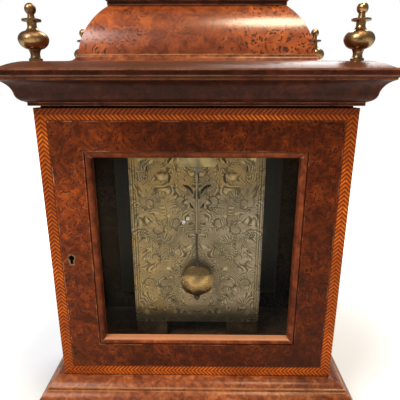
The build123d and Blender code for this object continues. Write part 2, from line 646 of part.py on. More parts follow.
def make_door(end, turn):
    outer = Plane(origin=(0, HALF_DEPTH, 0), x_dir=(-1, 0, 0), z_dir=(0, 1, 0))
    opening = (APERTURE_WIDTH, APERTURE_HEIGHT)
    lock_edge = INNER_WIDTH / 2 - LOCK_CLEARANCE
    lock_y = DOOR_BACK - LOCK_DEPTH / 2
    lock_z = DOOR_Z + KEYHOLE_RISE
    leaf_x = -HALF_WIDTH + HINGE_LEAF_WIDTH / 2
    door_leaf_y = DOOR_BACK + HINGE_LEAF_THICK / 2
    case_leaf_y = CARCASS_END - HINGE_LEAF_THICK / 2
    knuckle = (HINGE_HEIGHT - 2 * FIT) / 3
    pieces = {}

    with BuildPart() as door:
        with BuildSketch(outer):
            with Locations((0, DOOR_MIDDLE)):
                Rectangle(CASE_WIDTH, DOOR_HEIGHT)
            with Locations((0, APERTURE_Z)):
                Rectangle(*opening, mode=Mode.SUBTRACT)
        extrude(amount=-DOOR_THICK)
        with BuildSketch(outer):
            door_border()
        extrude(amount=-INLAY_THICK, mode=Mode.SUBTRACT)
        with BuildSketch(outer.offset(-GLASS_SET_BACK)):
            with Locations((0, APERTURE_Z)):
                Rectangle(*[side + 2 * GLASS_REBATE for side in opening])
        extrude(amount=-DOOR_THICK, mode=Mode.SUBTRACT)
        with BuildSketch(outer):
            keyhole(0)
        extrude(amount=-DOOR_THICK, mode=Mode.SUBTRACT)
        with BuildSketch(outer):
            keyhole(ESCUTCHEON_WALL)
        extrude(amount=-ESCUTCHEON_THICK, mode=Mode.SUBTRACT)
        for z in hinge_heights():
            with Locations((leaf_x, DOOR_BACK, z)):
                Box(HINGE_LEAF_WIDTH, 2 * HINGE_LEAF_THICK, HINGE_HEIGHT, mode=Mode.SUBTRACT)
    pieces["door"] = door

    with BuildPart() as inlay:
        with BuildSketch(outer):
            door_border()
        extrude(amount=-INLAY_THICK)
        rim = inlay.faces().sort_by(Axis.Y)[-1].outer_wire()
        fillet(rim.edges(), INLAY_THICK / 2)
    pieces["door_inlay"] = inlay

    with BuildPart() as sight:
        with BuildSketch(outer.offset(-SIGHT_SET_BACK)):
            with Locations((0, APERTURE_Z)):
                Rectangle(*opening)
                Rectangle(*[side - 2 * SIGHT_WIDTH for side in opening], mode=Mode.SUBTRACT)
        extrude(amount=-SIGHT_DEPTH)
        inner = sight.faces().sort_by(Axis.Y)[-1].inner_wires()[0]
        fillet(inner.edges(), SIGHT_WIDTH * 0.62)
        rim = sight.faces().filter_by(Axis.Y).sort_by(Axis.Y)[-1].outer_wire()
        fillet(rim.edges(), SIGHT_WIDTH * 0.3)
    pieces["door_sight_moulding"] = sight

    with BuildPart() as pane:
        with BuildSketch(outer.offset(-GLASS_SET_BACK)):
            with Locations((0, APERTURE_Z)):
                Rectangle(*[side + 2 * (GLASS_REBATE - GLASS_PLAY) for side in opening])
        extrude(amount=-GLASS_THICK)
    pieces["door_glass"] = pane

    with BuildPart() as escutcheon:
        with BuildSketch(outer):
            keyhole(ESCUTCHEON_WALL)
        extrude(amount=-ESCUTCHEON_THICK)
        with BuildSketch(outer):
            keyhole(0)
        extrude(amount=-ESCUTCHEON_THICK, mode=Mode.SUBTRACT)
    pieces["door_escutcheon"] = escutcheon

    with BuildPart() as lock:
        with Locations((lock_edge - LOCK_WIDTH / 2, lock_y, lock_z)):
            Box(LOCK_WIDTH, LOCK_DEPTH, LOCK_HEIGHT)
        with Locations((lock_edge, lock_y, lock_z)):
            Box(
                2 * (BOLT_LENGTH + FIT), BOLT_THICK + 2 * FIT, BOLT_HEIGHT + 2 * FIT,
                mode=Mode.SUBTRACT,
            )
    pieces["door_lock"] = lock

    with BuildPart() as bolt:
        with Locations((lock_edge - BOLT_LENGTH / 2, lock_y, lock_z)):
            Box(BOLT_LENGTH, BOLT_THICK, BOLT_HEIGHT)
        fillet(bolt.edges().filter_by(Axis.Y).group_by(Axis.X)[-1], 1.0)
    pieces["door_bolt"] = bolt

    with BuildPart() as door_leaves:
        for z in hinge_heights():
            with Locations((leaf_x, door_leaf_y, z)):
                Box(HINGE_LEAF_WIDTH, HINGE_LEAF_THICK, HINGE_HEIGHT)
            with Locations(((leaf_x + AXIS_X) / 2, door_leaf_y, z)):
                Box(leaf_x - AXIS_X, HINGE_LEAF_THICK, knuckle)
            with BuildSketch(Plane(origin=(AXIS_X, AXIS_Y, z - knuckle / 2))):
                Circle(KNUCKLE_RADIUS)
            extrude(amount=knuckle)
            with BuildSketch(Plane(origin=(AXIS_X, AXIS_Y, z - knuckle / 2))):
                Circle(HINGE_PIN_RADIUS + PIN_CLEARANCE)
            extrude(amount=knuckle, mode=Mode.SUBTRACT)
    pieces["hinge_door_leaves"] = door_leaves

    with BuildPart() as case_leaves:
        for z in hinge_heights():
            with Locations((leaf_x, case_leaf_y, z)):
                Box(HINGE_LEAF_WIDTH, HINGE_LEAF_THICK, HINGE_HEIGHT)
            for middle in (z - knuckle - FIT, z + knuckle + FIT):
                with Locations(((leaf_x + AXIS_X) / 2, case_leaf_y, middle)):
                    Box(leaf_x - AXIS_X, HINGE_LEAF_THICK, knuckle)
                with BuildSketch(Plane(origin=(AXIS_X, AXIS_Y, middle - knuckle / 2))):
                    Circle(KNUCKLE_RADIUS)
                extrude(amount=knuckle)
            with BuildSketch(Plane(origin=(AXIS_X, AXIS_Y, z - HINGE_HEIGHT / 2))):
                Circle(HINGE_PIN_RADIUS)
            extrude(amount=HINGE_HEIGHT)
    pieces["hinge_case_leaves"] = case_leaves

    for name, piece in pieces.items():
        save(piece.part.rotate(Axis.Z, turn), f"{end}_{name}")


# Dial and hands


def make_dial():
    opening = DIAL_SIZE - 2 * MASK_OVERLAP
    mask_top = CASE_TOP - BOARD_THICK
    with BuildPart() as mask:
        with BuildSketch(at((0, 0), DIAL_FACE)):
            with Locations((0, (BASE_TOP + mask_top) / 2)):
                Rectangle(INNER_WIDTH, mask_top - BASE_TOP)
            with Locations((0, APERTURE_Z)):
                Rectangle(opening, opening, mode=Mode.SUBTRACT)
        extrude(amount=MASK_THICK)
        front = mask.faces().sort_by(Axis.Y)[0]
        chamfer(front.inner_wires()[0].edges(), 2.0)
    save(mask.part, "dial_mask")

    with BuildPart() as plate:
        with BuildSketch(at(CENTRE, DIAL_FACE)):
            Rectangle(DIAL_SIZE, DIAL_SIZE)
        extrude(amount=-DIAL_THICK)
        for x in (-DIAL_FOOT_SPREAD, DIAL_FOOT_SPREAD):
            for z in (-DIAL_FOOT_SPREAD, DIAL_FOOT_SPREAD):
                rod((CENTRE[0] + x, CENTRE[1] + z), DIAL_BACK, FRONT_OUTER, DIAL_FOOT_RADIUS)
        rod(CENTRE, DIAL_FACE, DIAL_BACK, HOUR_PIPE_RADIUS + 1.0, Mode.SUBTRACT)
        rod(FUSEE, DIAL_FACE, DIAL_BACK, WINDING_HOLE_RADIUS, Mode.SUBTRACT)
    save(plate.part, "dial_plate")

    with BuildPart() as chapter:
        with BuildSketch(at(CENTRE, DIAL_FACE)):
            Circle(CHAPTER_OUTER)
            Circle(CHAPTER_INNER, mode=Mode.SUBTRACT)
        extrude(amount=CHAPTER_THICK)
    save(chapter.part, "chapter_ring")

    corner = opening / 2
    with BuildPart() as spandrels:
        for quarter in range(4):
            with BuildSketch(at(CENTRE, DIAL_FACE, 90 * quarter)):
                with Locations((corner - 14.0, corner - 14.0)):
                    Circle(9.5)
                    SlotOverall(34.0, 7.0, rotation=45)
                for along, across, radius in ((31.0, 8.4, 5.6), (43.0, 5.0, 3.6)):
                    with Locations((corner - along, corner - across), (corner - across, corner - along)):
                        Circle(radius)
                with Locations((corner - 27.0, corner - 8.4)):
                    SlotOverall(36.0, 4.6, rotation=6)
                with Locations((corner - 8.4, corner - 27.0)):
                    SlotOverall(36.0, 4.6, rotation=84)
            extrude(amount=SPANDREL_THICK)
    save(spandrels.part, "spandrels")


def hand_outline(length, width):
    """Half of a hand that points up, with a leaf-shaped swelling above its waist."""
    leaf_start, leaf_middle, leaf_end = length * 0.42, length * 0.52, length * 0.62
    Polyline((0, 0), (1.2, 0), (1.0, length * 0.22), (width * 0.7, length * 0.32), (1.1, leaf_start))
    ThreePointArc((1.1, leaf_start), (width, leaf_middle), (1.0, leaf_end))
    Polyline((1.0, leaf_end), (0.35, length), (0, length), (0, 0))


def hand(y, length, width, boss, bore, turn):
    """A hand turned clockwise, in degrees, from twelve."""
    with BuildPart() as piece:
        with BuildSketch(at(CENTRE, y, turn)):
            with BuildLine():
                hand_outline(length, width)
            make_face()
            mirror(about=Plane.YZ)
            Circle(boss)
            Circle(bore, mode=Mode.SUBTRACT)
        extrude(amount=-HAND_THICK)
    return piece.part


def make_hands():
    hour_turn, minute_turn = 305.0, 60.0
    hour_boss, minute_boss = HOUR_PIPE_RADIUS + 2.6, PIPE_RADIUS + 2.4
    hour = hand(HOUR_HAND_Y, HOUR_HAND_LENGTH, 6.4, hour_boss, HOUR_PIPE_RADIUS, hour_turn)
    minute = hand(MINUTE_HAND_Y, MINUTE_HAND_LENGTH, 4.6, minute_boss, PIPE_RADIUS, minute_turn)
    save(hour, "hour_hand")
    save(minute, "minute_hand")


# Movement


def pillar_places():
    x = PLATE_WIDTH / 2 - PILLAR_INSET
    low, high = PLATE_Z + PILLAR_INSET, PLATE_Z + PLATE_HEIGHT - PILLAR_INSET
    return (-x, low), (x, low), (-x, high), (x, high)


def make_seat():
    half = INNER_WIDTH / 2
    depth = BACK_OUTER - FRONT_OUTER
    board("seat_board", (-half, FRONT_OUTER, SEAT_TOP - SEAT_THICK), (half, BACK_OUTER, SEAT_TOP))
    with BuildPart() as rails:
        with BuildSketch(Plane((0, FRONT_OUTER + depth / 2, SEAT_TOP))):
            with GridLocations(2 * RAIL_SPREAD, 0, 2, 1):
                Rectangle(RAIL_WIDTH, depth)
        extrude(amount=RAIL_HEIGHT)
    save(rails.part, "seat_rails")


def make_plate(name, y, holes, stud=None):
    """A movement plate whose front face is at y, with (point, radius) holes."""
    with BuildPart() as plate:
        with BuildSketch(at((0, PLATE_Z + PLATE_HEIGHT / 2), y)):
            Rectangle(PLATE_WIDTH, PLATE_HEIGHT)
        extrude(amount=-PLATE_THICK)
        fillet(plate.edges().filter_by(Axis.Y), 2.0)
        for point in pillar_places():
            rod(point, y, y + PLATE_THICK, TENON_RADIUS, Mode.SUBTRACT)
        for point, radius in holes:
            rod(point, y, y + PLATE_THICK, radius, Mode.SUBTRACT)
        if stud:
            rod(stud, y - STUD_LENGTH, y, STUD_RADIUS)
    save(plate.part, name)


def make_frame():
    pivot = PIVOT_RADIUS + PIVOT_CLEARANCE
    arbor = ARBOR_RADIUS + PIVOT_CLEARANCE
    small = [(point, pivot) for point in (BARREL, THIRD, ESCAPE)]
    back_holes = small + [(CENTRE, pivot), (FUSEE, pivot), (PALLET, 2 * ARBOR_RADIUS)]
    front_holes = small + [
        (CENTRE, arbor), (FUSEE, HEAVY_ARBOR_RADIUS + PIVOT_CLEARANCE), (PALLET, pivot)
    ]
    make_plate("back_plate", BACK_INNER, back_holes)
    make_plate("front_plate", FRONT_OUTER, front_holes, STUD)

    collar = 4.0
    middle = (FRONT_INNER + BACK_INNER) / 2
    with BuildPart() as pillars:
        for point in pillar_places():
            rod(point, FRONT_INNER, BACK_INNER, PILLAR_RADIUS - 1.0)
            rod(point, FRONT_INNER, FRONT_INNER + collar, PILLAR_RADIUS)
            rod(point, BACK_INNER - collar, BACK_INNER, PILLAR_RADIUS)
            rod(point, middle - collar, middle + collar, PILLAR_RADIUS)
            rod(point, FRONT_OUTER, BACK_OUTER, TENON_RADIUS)
            rod(point, FRONT_OUTER - SCREW_HEAD, FRONT_OUTER, SCREW_HEAD_RADIUS)
            with Locations((point[0], FRONT_OUTER - SCREW_HEAD, point[1])):
                Box(2 * SCREW_HEAD_RADIUS, SCREW_HEAD, SCREW_HEAD / 2, mode=Mode.SUBTRACT)
    save(pillars.part, "plate_pillars")


def make_fusee_and_barrel():
    start = GREAT_Y + WHEEL_THICK
    square_end = DIAL_FACE - 1.0
    straight = 2.0
    sketch_plane = Plane(origin=(FUSEE[0], start, FUSEE[1]), x_dir=(1, 0, 0), z_dir=(0, 0, 1))
    waist = (FUSEE_LARGE + FUSEE_SMALL) / 2 - 1.4
    with BuildPart() as fusee:
        wheel(GREAT_TEETH, GREAT_MODULE, 0.0, FUSEE, GREAT_Y, hub=FUSEE_SMALL)
        with BuildSketch(sketch_plane):
            with BuildLine():
                Polyline((0, 0), (FUSEE_LARGE, 0), (FUSEE_LARGE, straight))
                ThreePointArc(
                    (FUSEE_LARGE, straight), (waist, FUSEE_LENGTH / 2), (FUSEE_SMALL, FUSEE_LENGTH)
                )
                Polyline((FUSEE_SMALL, FUSEE_LENGTH), (0, FUSEE_LENGTH), (0, 0))
            make_face()
        revolve(axis=Axis((FUSEE[0], 0, FUSEE[1]), (0, 1, 0)))
        rod(FUSEE, FRONT_OUTER - 2.0, BACK_INNER, HEAVY_ARBOR_RADIUS)
        rod(FUSEE, BACK_INNER, BACK_OUTER, PIVOT_RADIUS)
        with BuildSketch(at(FUSEE, square_end)):
            Rectangle(WINDING_SQUARE, WINDING_SQUARE)
        extrude(amount=square_end - FRONT_OUTER)
    save(fusee.part, "fusee")

    middle = start + FUSEE_LENGTH / 2
    with BuildPart() as barrel:
        rod(BARREL, middle - BARREL_LENGTH / 2, middle + BARREL_LENGTH / 2, BARREL_RADIUS)
        fillet(barrel.edges(), 0.8)
        rod(BARREL, FRONT_INNER, BACK_INNER, HEAVY_ARBOR_RADIUS)
        rod(BARREL, FRONT_OUTER, BACK_OUTER, PIVOT_RADIUS)
    save(barrel.part, "spring_barrel")


def make_train():
    centre_phase = meshing(0.0, GREAT_TEETH, GREAT_BEARING + 180, CENTRE_PINION)
    third_phase = meshing(0.0, CENTRE_TEETH, THIRD_BEARING, THIRD_PINION)
    escape_phase = meshing(0.0, THIRD_TEETH, bearing_of(THIRD, ESCAPE), ESCAPE_PINION)
    overlap = 3.0  # how far each pinion reaches past the wheel that drives it

    low, high = GREAT_Y - overlap / 2, GREAT_Y + WHEEL_THICK + overlap
    with BuildPart() as centre:
        wheel(CENTRE_TEETH, CENTRE_MODULE, 0.0, CENTRE, CENTRE_WHEEL_Y)
        pinion(CENTRE_PINION, GREAT_MODULE, centre_phase, CENTRE, low, high)
        rod(CENTRE, high, BACK_INNER, ARBOR_RADIUS)
        rod(CENTRE, CANNON_Y + 0.5, low, ARBOR_RADIUS)
        rod(CENTRE, MINUTE_HAND_Y - 1.6, CANNON_Y + 0.5, ARBOR_RADIUS - 0.4)
        rod(CENTRE, BACK_INNER, BACK_OUTER, PIVOT_RADIUS)
    save(centre.part, "centre_arbor")

    low, high = CENTRE_WHEEL_Y - overlap, CENTRE_WHEEL_Y + WHEEL_THICK + overlap / 2
    with BuildPart() as third:
        wheel(THIRD_TEETH, THIRD_MODULE, 0.0, THIRD, THIRD_WHEEL_Y, hub=4.0)
        pinion(THIRD_PINION, CENTRE_MODULE, third_phase, THIRD, low, high)
        rod(THIRD, FRONT_INNER, low, ARBOR_RADIUS)
        rod(THIRD, high, BACK_INNER, ARBOR_RADIUS)
        rod(THIRD, FRONT_OUTER, FRONT_INNER, PIVOT_RADIUS)
        rod(THIRD, BACK_INNER, BACK_OUTER, PIVOT_RADIUS)
    save(third.part, "third_wheel")

    low, high = THIRD_WHEEL_Y - overlap, THIRD_WHEEL_Y + WHEEL_THICK + overlap
    root = ESCAPE_RADIUS - ESCAPE_TOOTH
    step = 2 * pi / ESCAPE_TEETH
    points = []
    for k in range(ESCAPE_TEETH):
        for radius, share in ((ESCAPE_RADIUS, 0.0), (root, 0.3), (root, 0.86)):
            points.append((radius * cos((k + share) * step), radius * sin((k + share) * step)))
    with BuildPart() as escape:
        with BuildSketch(at(ESCAPE, ESCAPE_WHEEL_Y)):
            with BuildLine():
                Polyline(*points, close=True)
            make_face()
            Circle(root - 1.8, mode=Mode.SUBTRACT)
            Circle(3.6)
            with PolarLocations(0, 4):
                Rectangle(root - 1.2, SPOKE_WIDTH - 0.8, align=(Align.MIN, Align.CENTER))
        extrude(amount=-WHEEL_THICK)
        pinion(ESCAPE_PINION, THIRD_MODULE, escape_phase, ESCAPE, low, high)
        rod(ESCAPE, FRONT_INNER, low, ARBOR_RADIUS)
        rod(ESCAPE, high, BACK_INNER, ARBOR_RADIUS)
        rod(ESCAPE, FRONT_OUTER, FRONT_INNER, PIVOT_RADIUS)
        rod(ESCAPE, BACK_INNER, BACK_OUTER, PIVOT_RADIUS)
    save(escape.part, "escape_wheel")


def round_escape(radius, angle):
    """A point round the escape wheel's arbor, seen from the pallet arbor, with 0 straight up."""
    return (radius * sin(angle), radius * cos(angle) - ESCAPE_DROP)


def make_pallets():
    near = ESCAPE_RADIUS + PALLET_CLEARANCE
    inside, outside = ESCAPE_RADIUS + 4.6, ESCAPE_RADIUS + 8.8
    toe, heel = ESCAPE_HALF, ESCAPE_HALF + radians(7.0)
    pallet_y = ESCAPE_WHEEL_Y - (PALLET_THICK - WHEEL_THICK) / 2
    crutch_y = BACK_OUTER + 1.2
    bridge_y = BACK_OUTER + COCK_RISE
    fork_x = ROD_RADIUS + FIT + 0.7
    fork_length = BOB_Y + ROD_RADIUS + 1.0 - crutch_y
    with BuildPart() as pallets:
        with BuildSketch(at(PALLET, pallet_y)):
            with BuildLine():
                ThreePointArc(
                    round_escape(outside, -heel), round_escape(outside, 0), round_escape(outside, heel)
                )
                Polyline(
                    round_escape(outside, heel), round_escape(near, heel),
                    round_escape(near, toe), round_escape(inside, toe),
                )
                ThreePointArc(
                    round_escape(inside, toe), round_escape(inside, 0), round_escape(inside, -toe)
                )
                Polyline(
                    round_escape(inside, -toe), round_escape(near, -toe),
                    round_escape(near, -heel), round_escape(outside, -heel),
                )
            make_face()
            Circle(3.4)
        extrude(amount=-PALLET_THICK)
        rod(PALLET, FRONT_INNER, bridge_y, ARBOR_RADIUS)
        rod(PALLET, FRONT_OUTER, FRONT_INNER, PIVOT_RADIUS)
        rod(PALLET, bridge_y, bridge_y + COCK_THICK, PIVOT_RADIUS)
        with BuildSketch(at(PALLET, crutch_y)):
            Circle(3.0)
            with Locations((0, -CRUTCH_LENGTH / 2)):
                Rectangle(CRUTCH_WIDTH, CRUTCH_LENGTH)
            with Locations((0, -CRUTCH_LENGTH)):
                Rectangle(2 * fork_x + CRUTCH_THICK, 3.0)
        extrude(amount=-CRUTCH_THICK)
        for side in (-1, 1):
            with Locations((side * fork_x, crutch_y + fork_length / 2, PALLET[1] - CRUTCH_LENGTH)):
                Box(CRUTCH_THICK, fork_length, 3.0)
    save(pallets.part, "pallets")


def make_cock():
    middle = (0, PALLET[1] + 1.2)
    bridge_y = BACK_OUTER + COCK_RISE
    foot_x = COCK_WIDTH / 2 - 4.0
    arm_height, arm_end = 5.0, BOB_Y + 4.0
    arm_z = PALLET[1] + 2.6 + arm_height / 2
    with BuildPart() as cock:
        with BuildSketch(at(middle, bridge_y)):
            RectangleRounded(COCK_WIDTH, COCK_HEIGHT, 3.0)
        extrude(amount=-COCK_THICK)
        for side in (-1, 1):
            with BuildSketch(at((side * foot_x, middle[1]), BACK_OUTER)):
                Rectangle(8.0, COCK_HEIGHT - 3.0)
            extrude(amount=-COCK_RISE)
            rod((side * foot_x, middle[1]), bridge_y, bridge_y + COCK_THICK + 1.4, 2.6)
        rod(PALLET, bridge_y, bridge_y + COCK_THICK, PIVOT_RADIUS + PIVOT_CLEARANCE, Mode.SUBTRACT)
        with Locations((0, (bridge_y + 1.0 + arm_end) / 2, arm_z)):
            Box(9.0, arm_end - bridge_y - 1.0, arm_height)
    save(cock.part, "back_cock")


def make_pendulum():
    spring_top = PALLET[1] + 2.6 - FIT
    rod_top = PALLET[1] - SPRING_LENGTH
    bob_z = PALLET[1] - PENDULUM_LENGTH
    bob_foot = bob_z - BOB_RADIUS
    with BuildPart() as pendulum_rod:
        with Locations((0, BOB_Y, (spring_top + rod_top) / 2)):
            Box(SPRING_THICK, SPRING_WIDTH, spring_top - rod_top)
        with BuildSketch(Plane((0, BOB_Y, rod_top - 4.0))):
            Circle(ROD_RADIUS + 1.0)
        extrude(amount=6.0)
        with BuildSketch(Plane((0, BOB_Y, bob_foot - 5.0))):
            Circle(ROD_RADIUS)
        extrude(amount=rod_top - bob_foot + 5.0)
        with BuildSketch(Plane((0, BOB_Y, bob_foot - 2.6))):
            Circle(RATING_NUT_RADIUS)
        extrude(amount=2.6)
    save(pendulum_rod.part, "pendulum_rod")

    edge, belly = 0.5, (BOB_RADIUS * 0.62, BOB_THICK * 0.34)
    with BuildPart() as bob:
        with BuildSketch(Plane(origin=(0, BOB_Y, bob_z), x_dir=(1, 0, 0), z_dir=(0, 0, 1))):
            with BuildLine():
                Line((0, -BOB_THICK / 2), (0, BOB_THICK / 2))
                ThreePointArc((0, BOB_THICK / 2), belly, (BOB_RADIUS, edge))
                Line((BOB_RADIUS, edge), (BOB_RADIUS, -edge))
                ThreePointArc((BOB_RADIUS, -edge), (belly[0], -belly[1]), (0, -BOB_THICK / 2))
            make_face()
        revolve(axis=Axis((0, 0, bob_z), (0, 1, 0)))
        with BuildSketch(Plane((0, BOB_Y, bob_foot))):
            Circle(ROD_RADIUS)
        extrude(amount=2 * BOB_RADIUS, mode=Mode.SUBTRACT)
    save(bob.part, "pendulum_bob")


def make_motion_work():
    minute_phase = meshing(0.0, CANNON_TEETH, 180.0, MINUTE_TEETH)
    hour_phase = meshing(0.0, MINUTE_PINION, 0.0, HOUR_TEETH)
    shoulder = CANNON_Y + 0.5
    pinion_low = HOUR_WHEEL_Y - 2.0
    stud_bore = STUD_RADIUS + PIVOT_CLEARANCE
    with BuildPart() as cannon:
        wheel(CANNON_TEETH, CANNON_MODULE, 0.0, CENTRE, CANNON_Y, hub=4.0)
        rod(CENTRE, MINUTE_HAND_Y, CANNON_Y + WHEEL_THICK, PIPE_RADIUS)
        rod(CENTRE, MINUTE_HAND_Y, shoulder, ARBOR_RADIUS - 0.4, Mode.SUBTRACT)
        rod(CENTRE, shoulder, CANNON_Y + WHEEL_THICK, ARBOR_RADIUS, Mode.SUBTRACT)
    save(cannon.part, "cannon_pinion")

    with BuildPart() as minute:
        wheel(MINUTE_TEETH, CANNON_MODULE, minute_phase, STUD, CANNON_Y, hub=4.0)
        pinion(MINUTE_PINION, HOUR_MODULE, 0.0, STUD, pinion_low, CANNON_Y)
        rod(STUD, pinion_low, CANNON_Y + WHEEL_THICK, stud_bore, Mode.SUBTRACT)
    save(minute.part, "minute_wheel")

    with BuildPart() as hour:
        wheel(HOUR_TEETH, HOUR_MODULE, hour_phase, CENTRE, HOUR_WHEEL_Y, hub=5.4)
        rod(CENTRE, HOUR_HAND_Y, HOUR_WHEEL_Y + WHEEL_THICK, HOUR_PIPE_RADIUS)
        rod(
            CENTRE, HOUR_HAND_Y, HOUR_WHEEL_Y + WHEEL_THICK, PIPE_RADIUS + PIVOT_CLEARANCE,
            Mode.SUBTRACT,
        )
    save(hour.part, "hour_wheel")


make_base()
make_sides()
make_top()
make_finials()
make_handle()
make_door("back", 0)
make_door("front", 180)
make_dial()
make_hands()
make_seat()
make_frame()
make_fusee_and_barrel()
make_train()
make_pallets()
make_cock()
make_pendulum()
make_motion_work()
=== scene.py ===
# %% [markdown]
# # A bracket clock, seen from behind
# The shapes of the case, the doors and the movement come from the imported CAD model.
# This lesson gives each of them its finish, adds what is too fine for solids, such as
# the engraving on the back plate, and sets the light and the camera.

import bpy
import math
import random
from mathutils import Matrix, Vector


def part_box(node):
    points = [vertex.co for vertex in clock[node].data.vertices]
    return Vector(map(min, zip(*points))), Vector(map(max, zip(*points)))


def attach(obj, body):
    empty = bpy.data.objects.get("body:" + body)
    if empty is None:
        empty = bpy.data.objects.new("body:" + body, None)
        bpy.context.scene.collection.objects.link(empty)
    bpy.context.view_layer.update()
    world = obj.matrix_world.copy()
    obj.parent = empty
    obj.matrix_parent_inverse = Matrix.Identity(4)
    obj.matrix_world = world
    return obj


MM = 0.001
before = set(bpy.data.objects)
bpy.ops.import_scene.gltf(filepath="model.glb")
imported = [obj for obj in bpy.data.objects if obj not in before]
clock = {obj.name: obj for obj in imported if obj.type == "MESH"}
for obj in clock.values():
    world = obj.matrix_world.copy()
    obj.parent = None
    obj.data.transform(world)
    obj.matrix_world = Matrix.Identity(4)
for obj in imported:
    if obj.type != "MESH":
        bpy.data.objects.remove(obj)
scene = bpy.context.scene
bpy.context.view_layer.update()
print("pieces from the CAD model:", len(clock))

# %% [markdown]
# ## Small helpers for nodes
# A finish is a graph of nodes. It could be drawn by hand in the shader editor, but a
# script can build it again at any time. Writing each node in one call keeps the graph
# readable: the kind of node, what goes into its sockets, and its settings.

# %% Node helpers


def add_node(tree, kind, inputs=None, **settings):
    node = tree.nodes.new(kind)
    for name, value in settings.items():
        setattr(node, name, value)
    for name, value in (inputs or {}).items():
        if isinstance(value, bpy.types.NodeSocket):
            tree.links.new(value, node.inputs[name])
        else:
            node.inputs[name].default_value = value
    return node


def calc(tree, operation, a, b=0.0, clamp=False):
    return add_node(tree, "ShaderNodeMath", {0: a, 1: b}, operation=operation, use_clamp=clamp).outputs[0]


def blend_colour(tree, factor, first, second, mode="MIX"):
    node = add_node(tree, "ShaderNodeMix", data_type="RGBA", blend_type=mode)
    for index, value in ((0, factor), (6, first), (7, second)):
        if isinstance(value, bpy.types.NodeSocket):
            tree.links.new(value, node.inputs[index])
        else:
            node.inputs[index].default_value = value
    return node.outputs[2]


def ramp_between(tree, value, low, high):
    limits = {"Value": value, "From Min": low, "From Max": high}
    return add_node(tree, "ShaderNodeMapRange", limits, interpolation_type="SMOOTHSTEP").outputs["Result"]


def start_group(name, inputs, outputs):
    tree = bpy.data.node_groups.new(name, "ShaderNodeTree")
    for label, kind, value in inputs:
        tree.interface.new_socket(label, in_out="INPUT", socket_type=kind).default_value = value
    for label, kind in outputs:
        tree.interface.new_socket(label, in_out="OUTPUT", socket_type=kind)
    return tree, tree.nodes.new("NodeGroupInput").outputs, tree.nodes.new("NodeGroupOutput").inputs


FLOAT, COLOUR, FINISH = "NodeSocketFloat", "NodeSocketColor", "NodeSocketMaterial"
print("socket kinds:", FLOAT, COLOUR, FINISH)

# %% [markdown]
# ## Burr veneer
# Burr wood has no straight grain: it is a cloud of swirls with small dark eyes. The
# swirls are noise whose coordinates are pushed about by more noise. The eyes are the
# middles of Voronoi cells, shown only where a slow noise lets them. A picture of veneer
# would need to be laid out on every piece. A pattern in space needs no layout, and runs
# round a moulding without a seam.

# %% The burr group


def make_burr_group():
    tree, given, result = start_group(
        "Burr veneer",
        [("Scale", FLOAT, 1.0), ("Eyes", FLOAT, 0.5), ("Dark", COLOUR, (0, 0, 0, 1)),
         ("Middle", COLOUR, (0, 0, 0, 1)), ("Light", COLOUR, (0, 0, 0, 1))],
        [("Color", COLOUR), ("Height", FLOAT), ("Eye", FLOAT)],
    )
    place = add_node(tree, "ShaderNodeTexCoord").outputs["Object"]
    sized = add_node(
        tree, "ShaderNodeVectorMath", {0: place, "Scale": given["Scale"]}, operation="SCALE"
    ).outputs[0]
    push = add_node(
        tree, "ShaderNodeTexNoise", {"Vector": sized, "Scale": 55.0, "Detail": 3.0}
    ).outputs["Color"]
    pushed = add_node(
        tree, "ShaderNodeVectorMath", {0: push, 1: (0.03, 0.03, 0.03), 2: sized}, operation="MULTIPLY_ADD"
    ).outputs[0]
    swirl = add_node(
        tree, "ShaderNodeTexNoise", {"Vector": pushed, "Scale": 120.0, "Detail": 6.0, "Roughness": 0.62}
    )
    cloud = add_node(tree, "ShaderNodeTexNoise", {"Vector": sized, "Scale": 22.0, "Detail": 4.0})
    cells = add_node(tree, "ShaderNodeTexVoronoi", {"Vector": pushed, "Scale": 360.0})
    spot = ramp_between(tree, cells.outputs["Distance"], 0.46, 0.26)
    where = ramp_between(tree, calc(tree, "ADD", cloud.outputs["Fac"], given["Eyes"]), 1.02, 1.14)
    eye = calc(tree, "MULTIPLY", spot, where, clamp=True)
    fine_share = calc(tree, "MULTIPLY", swirl.outputs["Fac"], 0.65)
    figure = calc(tree, "ADD", fine_share, calc(tree, "MULTIPLY", cloud.outputs["Fac"], 0.35))
    lower = blend_colour(tree, ramp_between(tree, figure, 0.36, 0.54), given["Dark"], given["Middle"])
    upper = blend_colour(tree, ramp_between(tree, figure, 0.5, 0.66), lower, given["Light"])
    slow = add_node(tree, "ShaderNodeTexNoise", {"Vector": sized, "Scale": 7.0, "Detail": 2.0}).outputs["Fac"]
    shade = blend_colour(
        tree, ramp_between(tree, slow, 0.38, 0.62), (0.72, 0.66, 0.62, 1), (1.2, 1.15, 1.05, 1)
    )
    uneven = blend_colour(tree, 1.0, upper, shade, mode="MULTIPLY")
    shaded = blend_colour(tree, calc(tree, "MULTIPLY", eye, 0.9), uneven, (0.014, 0.005, 0.004, 1))
    tree.links.new(shaded, result["Color"])
    tree.links.new(swirl.outputs["Fac"], result["Height"])
    tree.links.new(eye, result["Eye"])
    return tree


burr_group = make_burr_group()
print("burr group nodes:", len(burr_group.nodes))

# %% [markdown]
# ## Worn edges
# Polish rubs off where hands and dusters touch. The Bevel node gives the normal of a
# softened edge, and where it differs from the true normal there is an edge. Noise
# breaks the mask up, so the wear isn't a drawn line. Wear could be painted too, but it
# would have to be painted again whenever a shape changes.

# %% The wear group


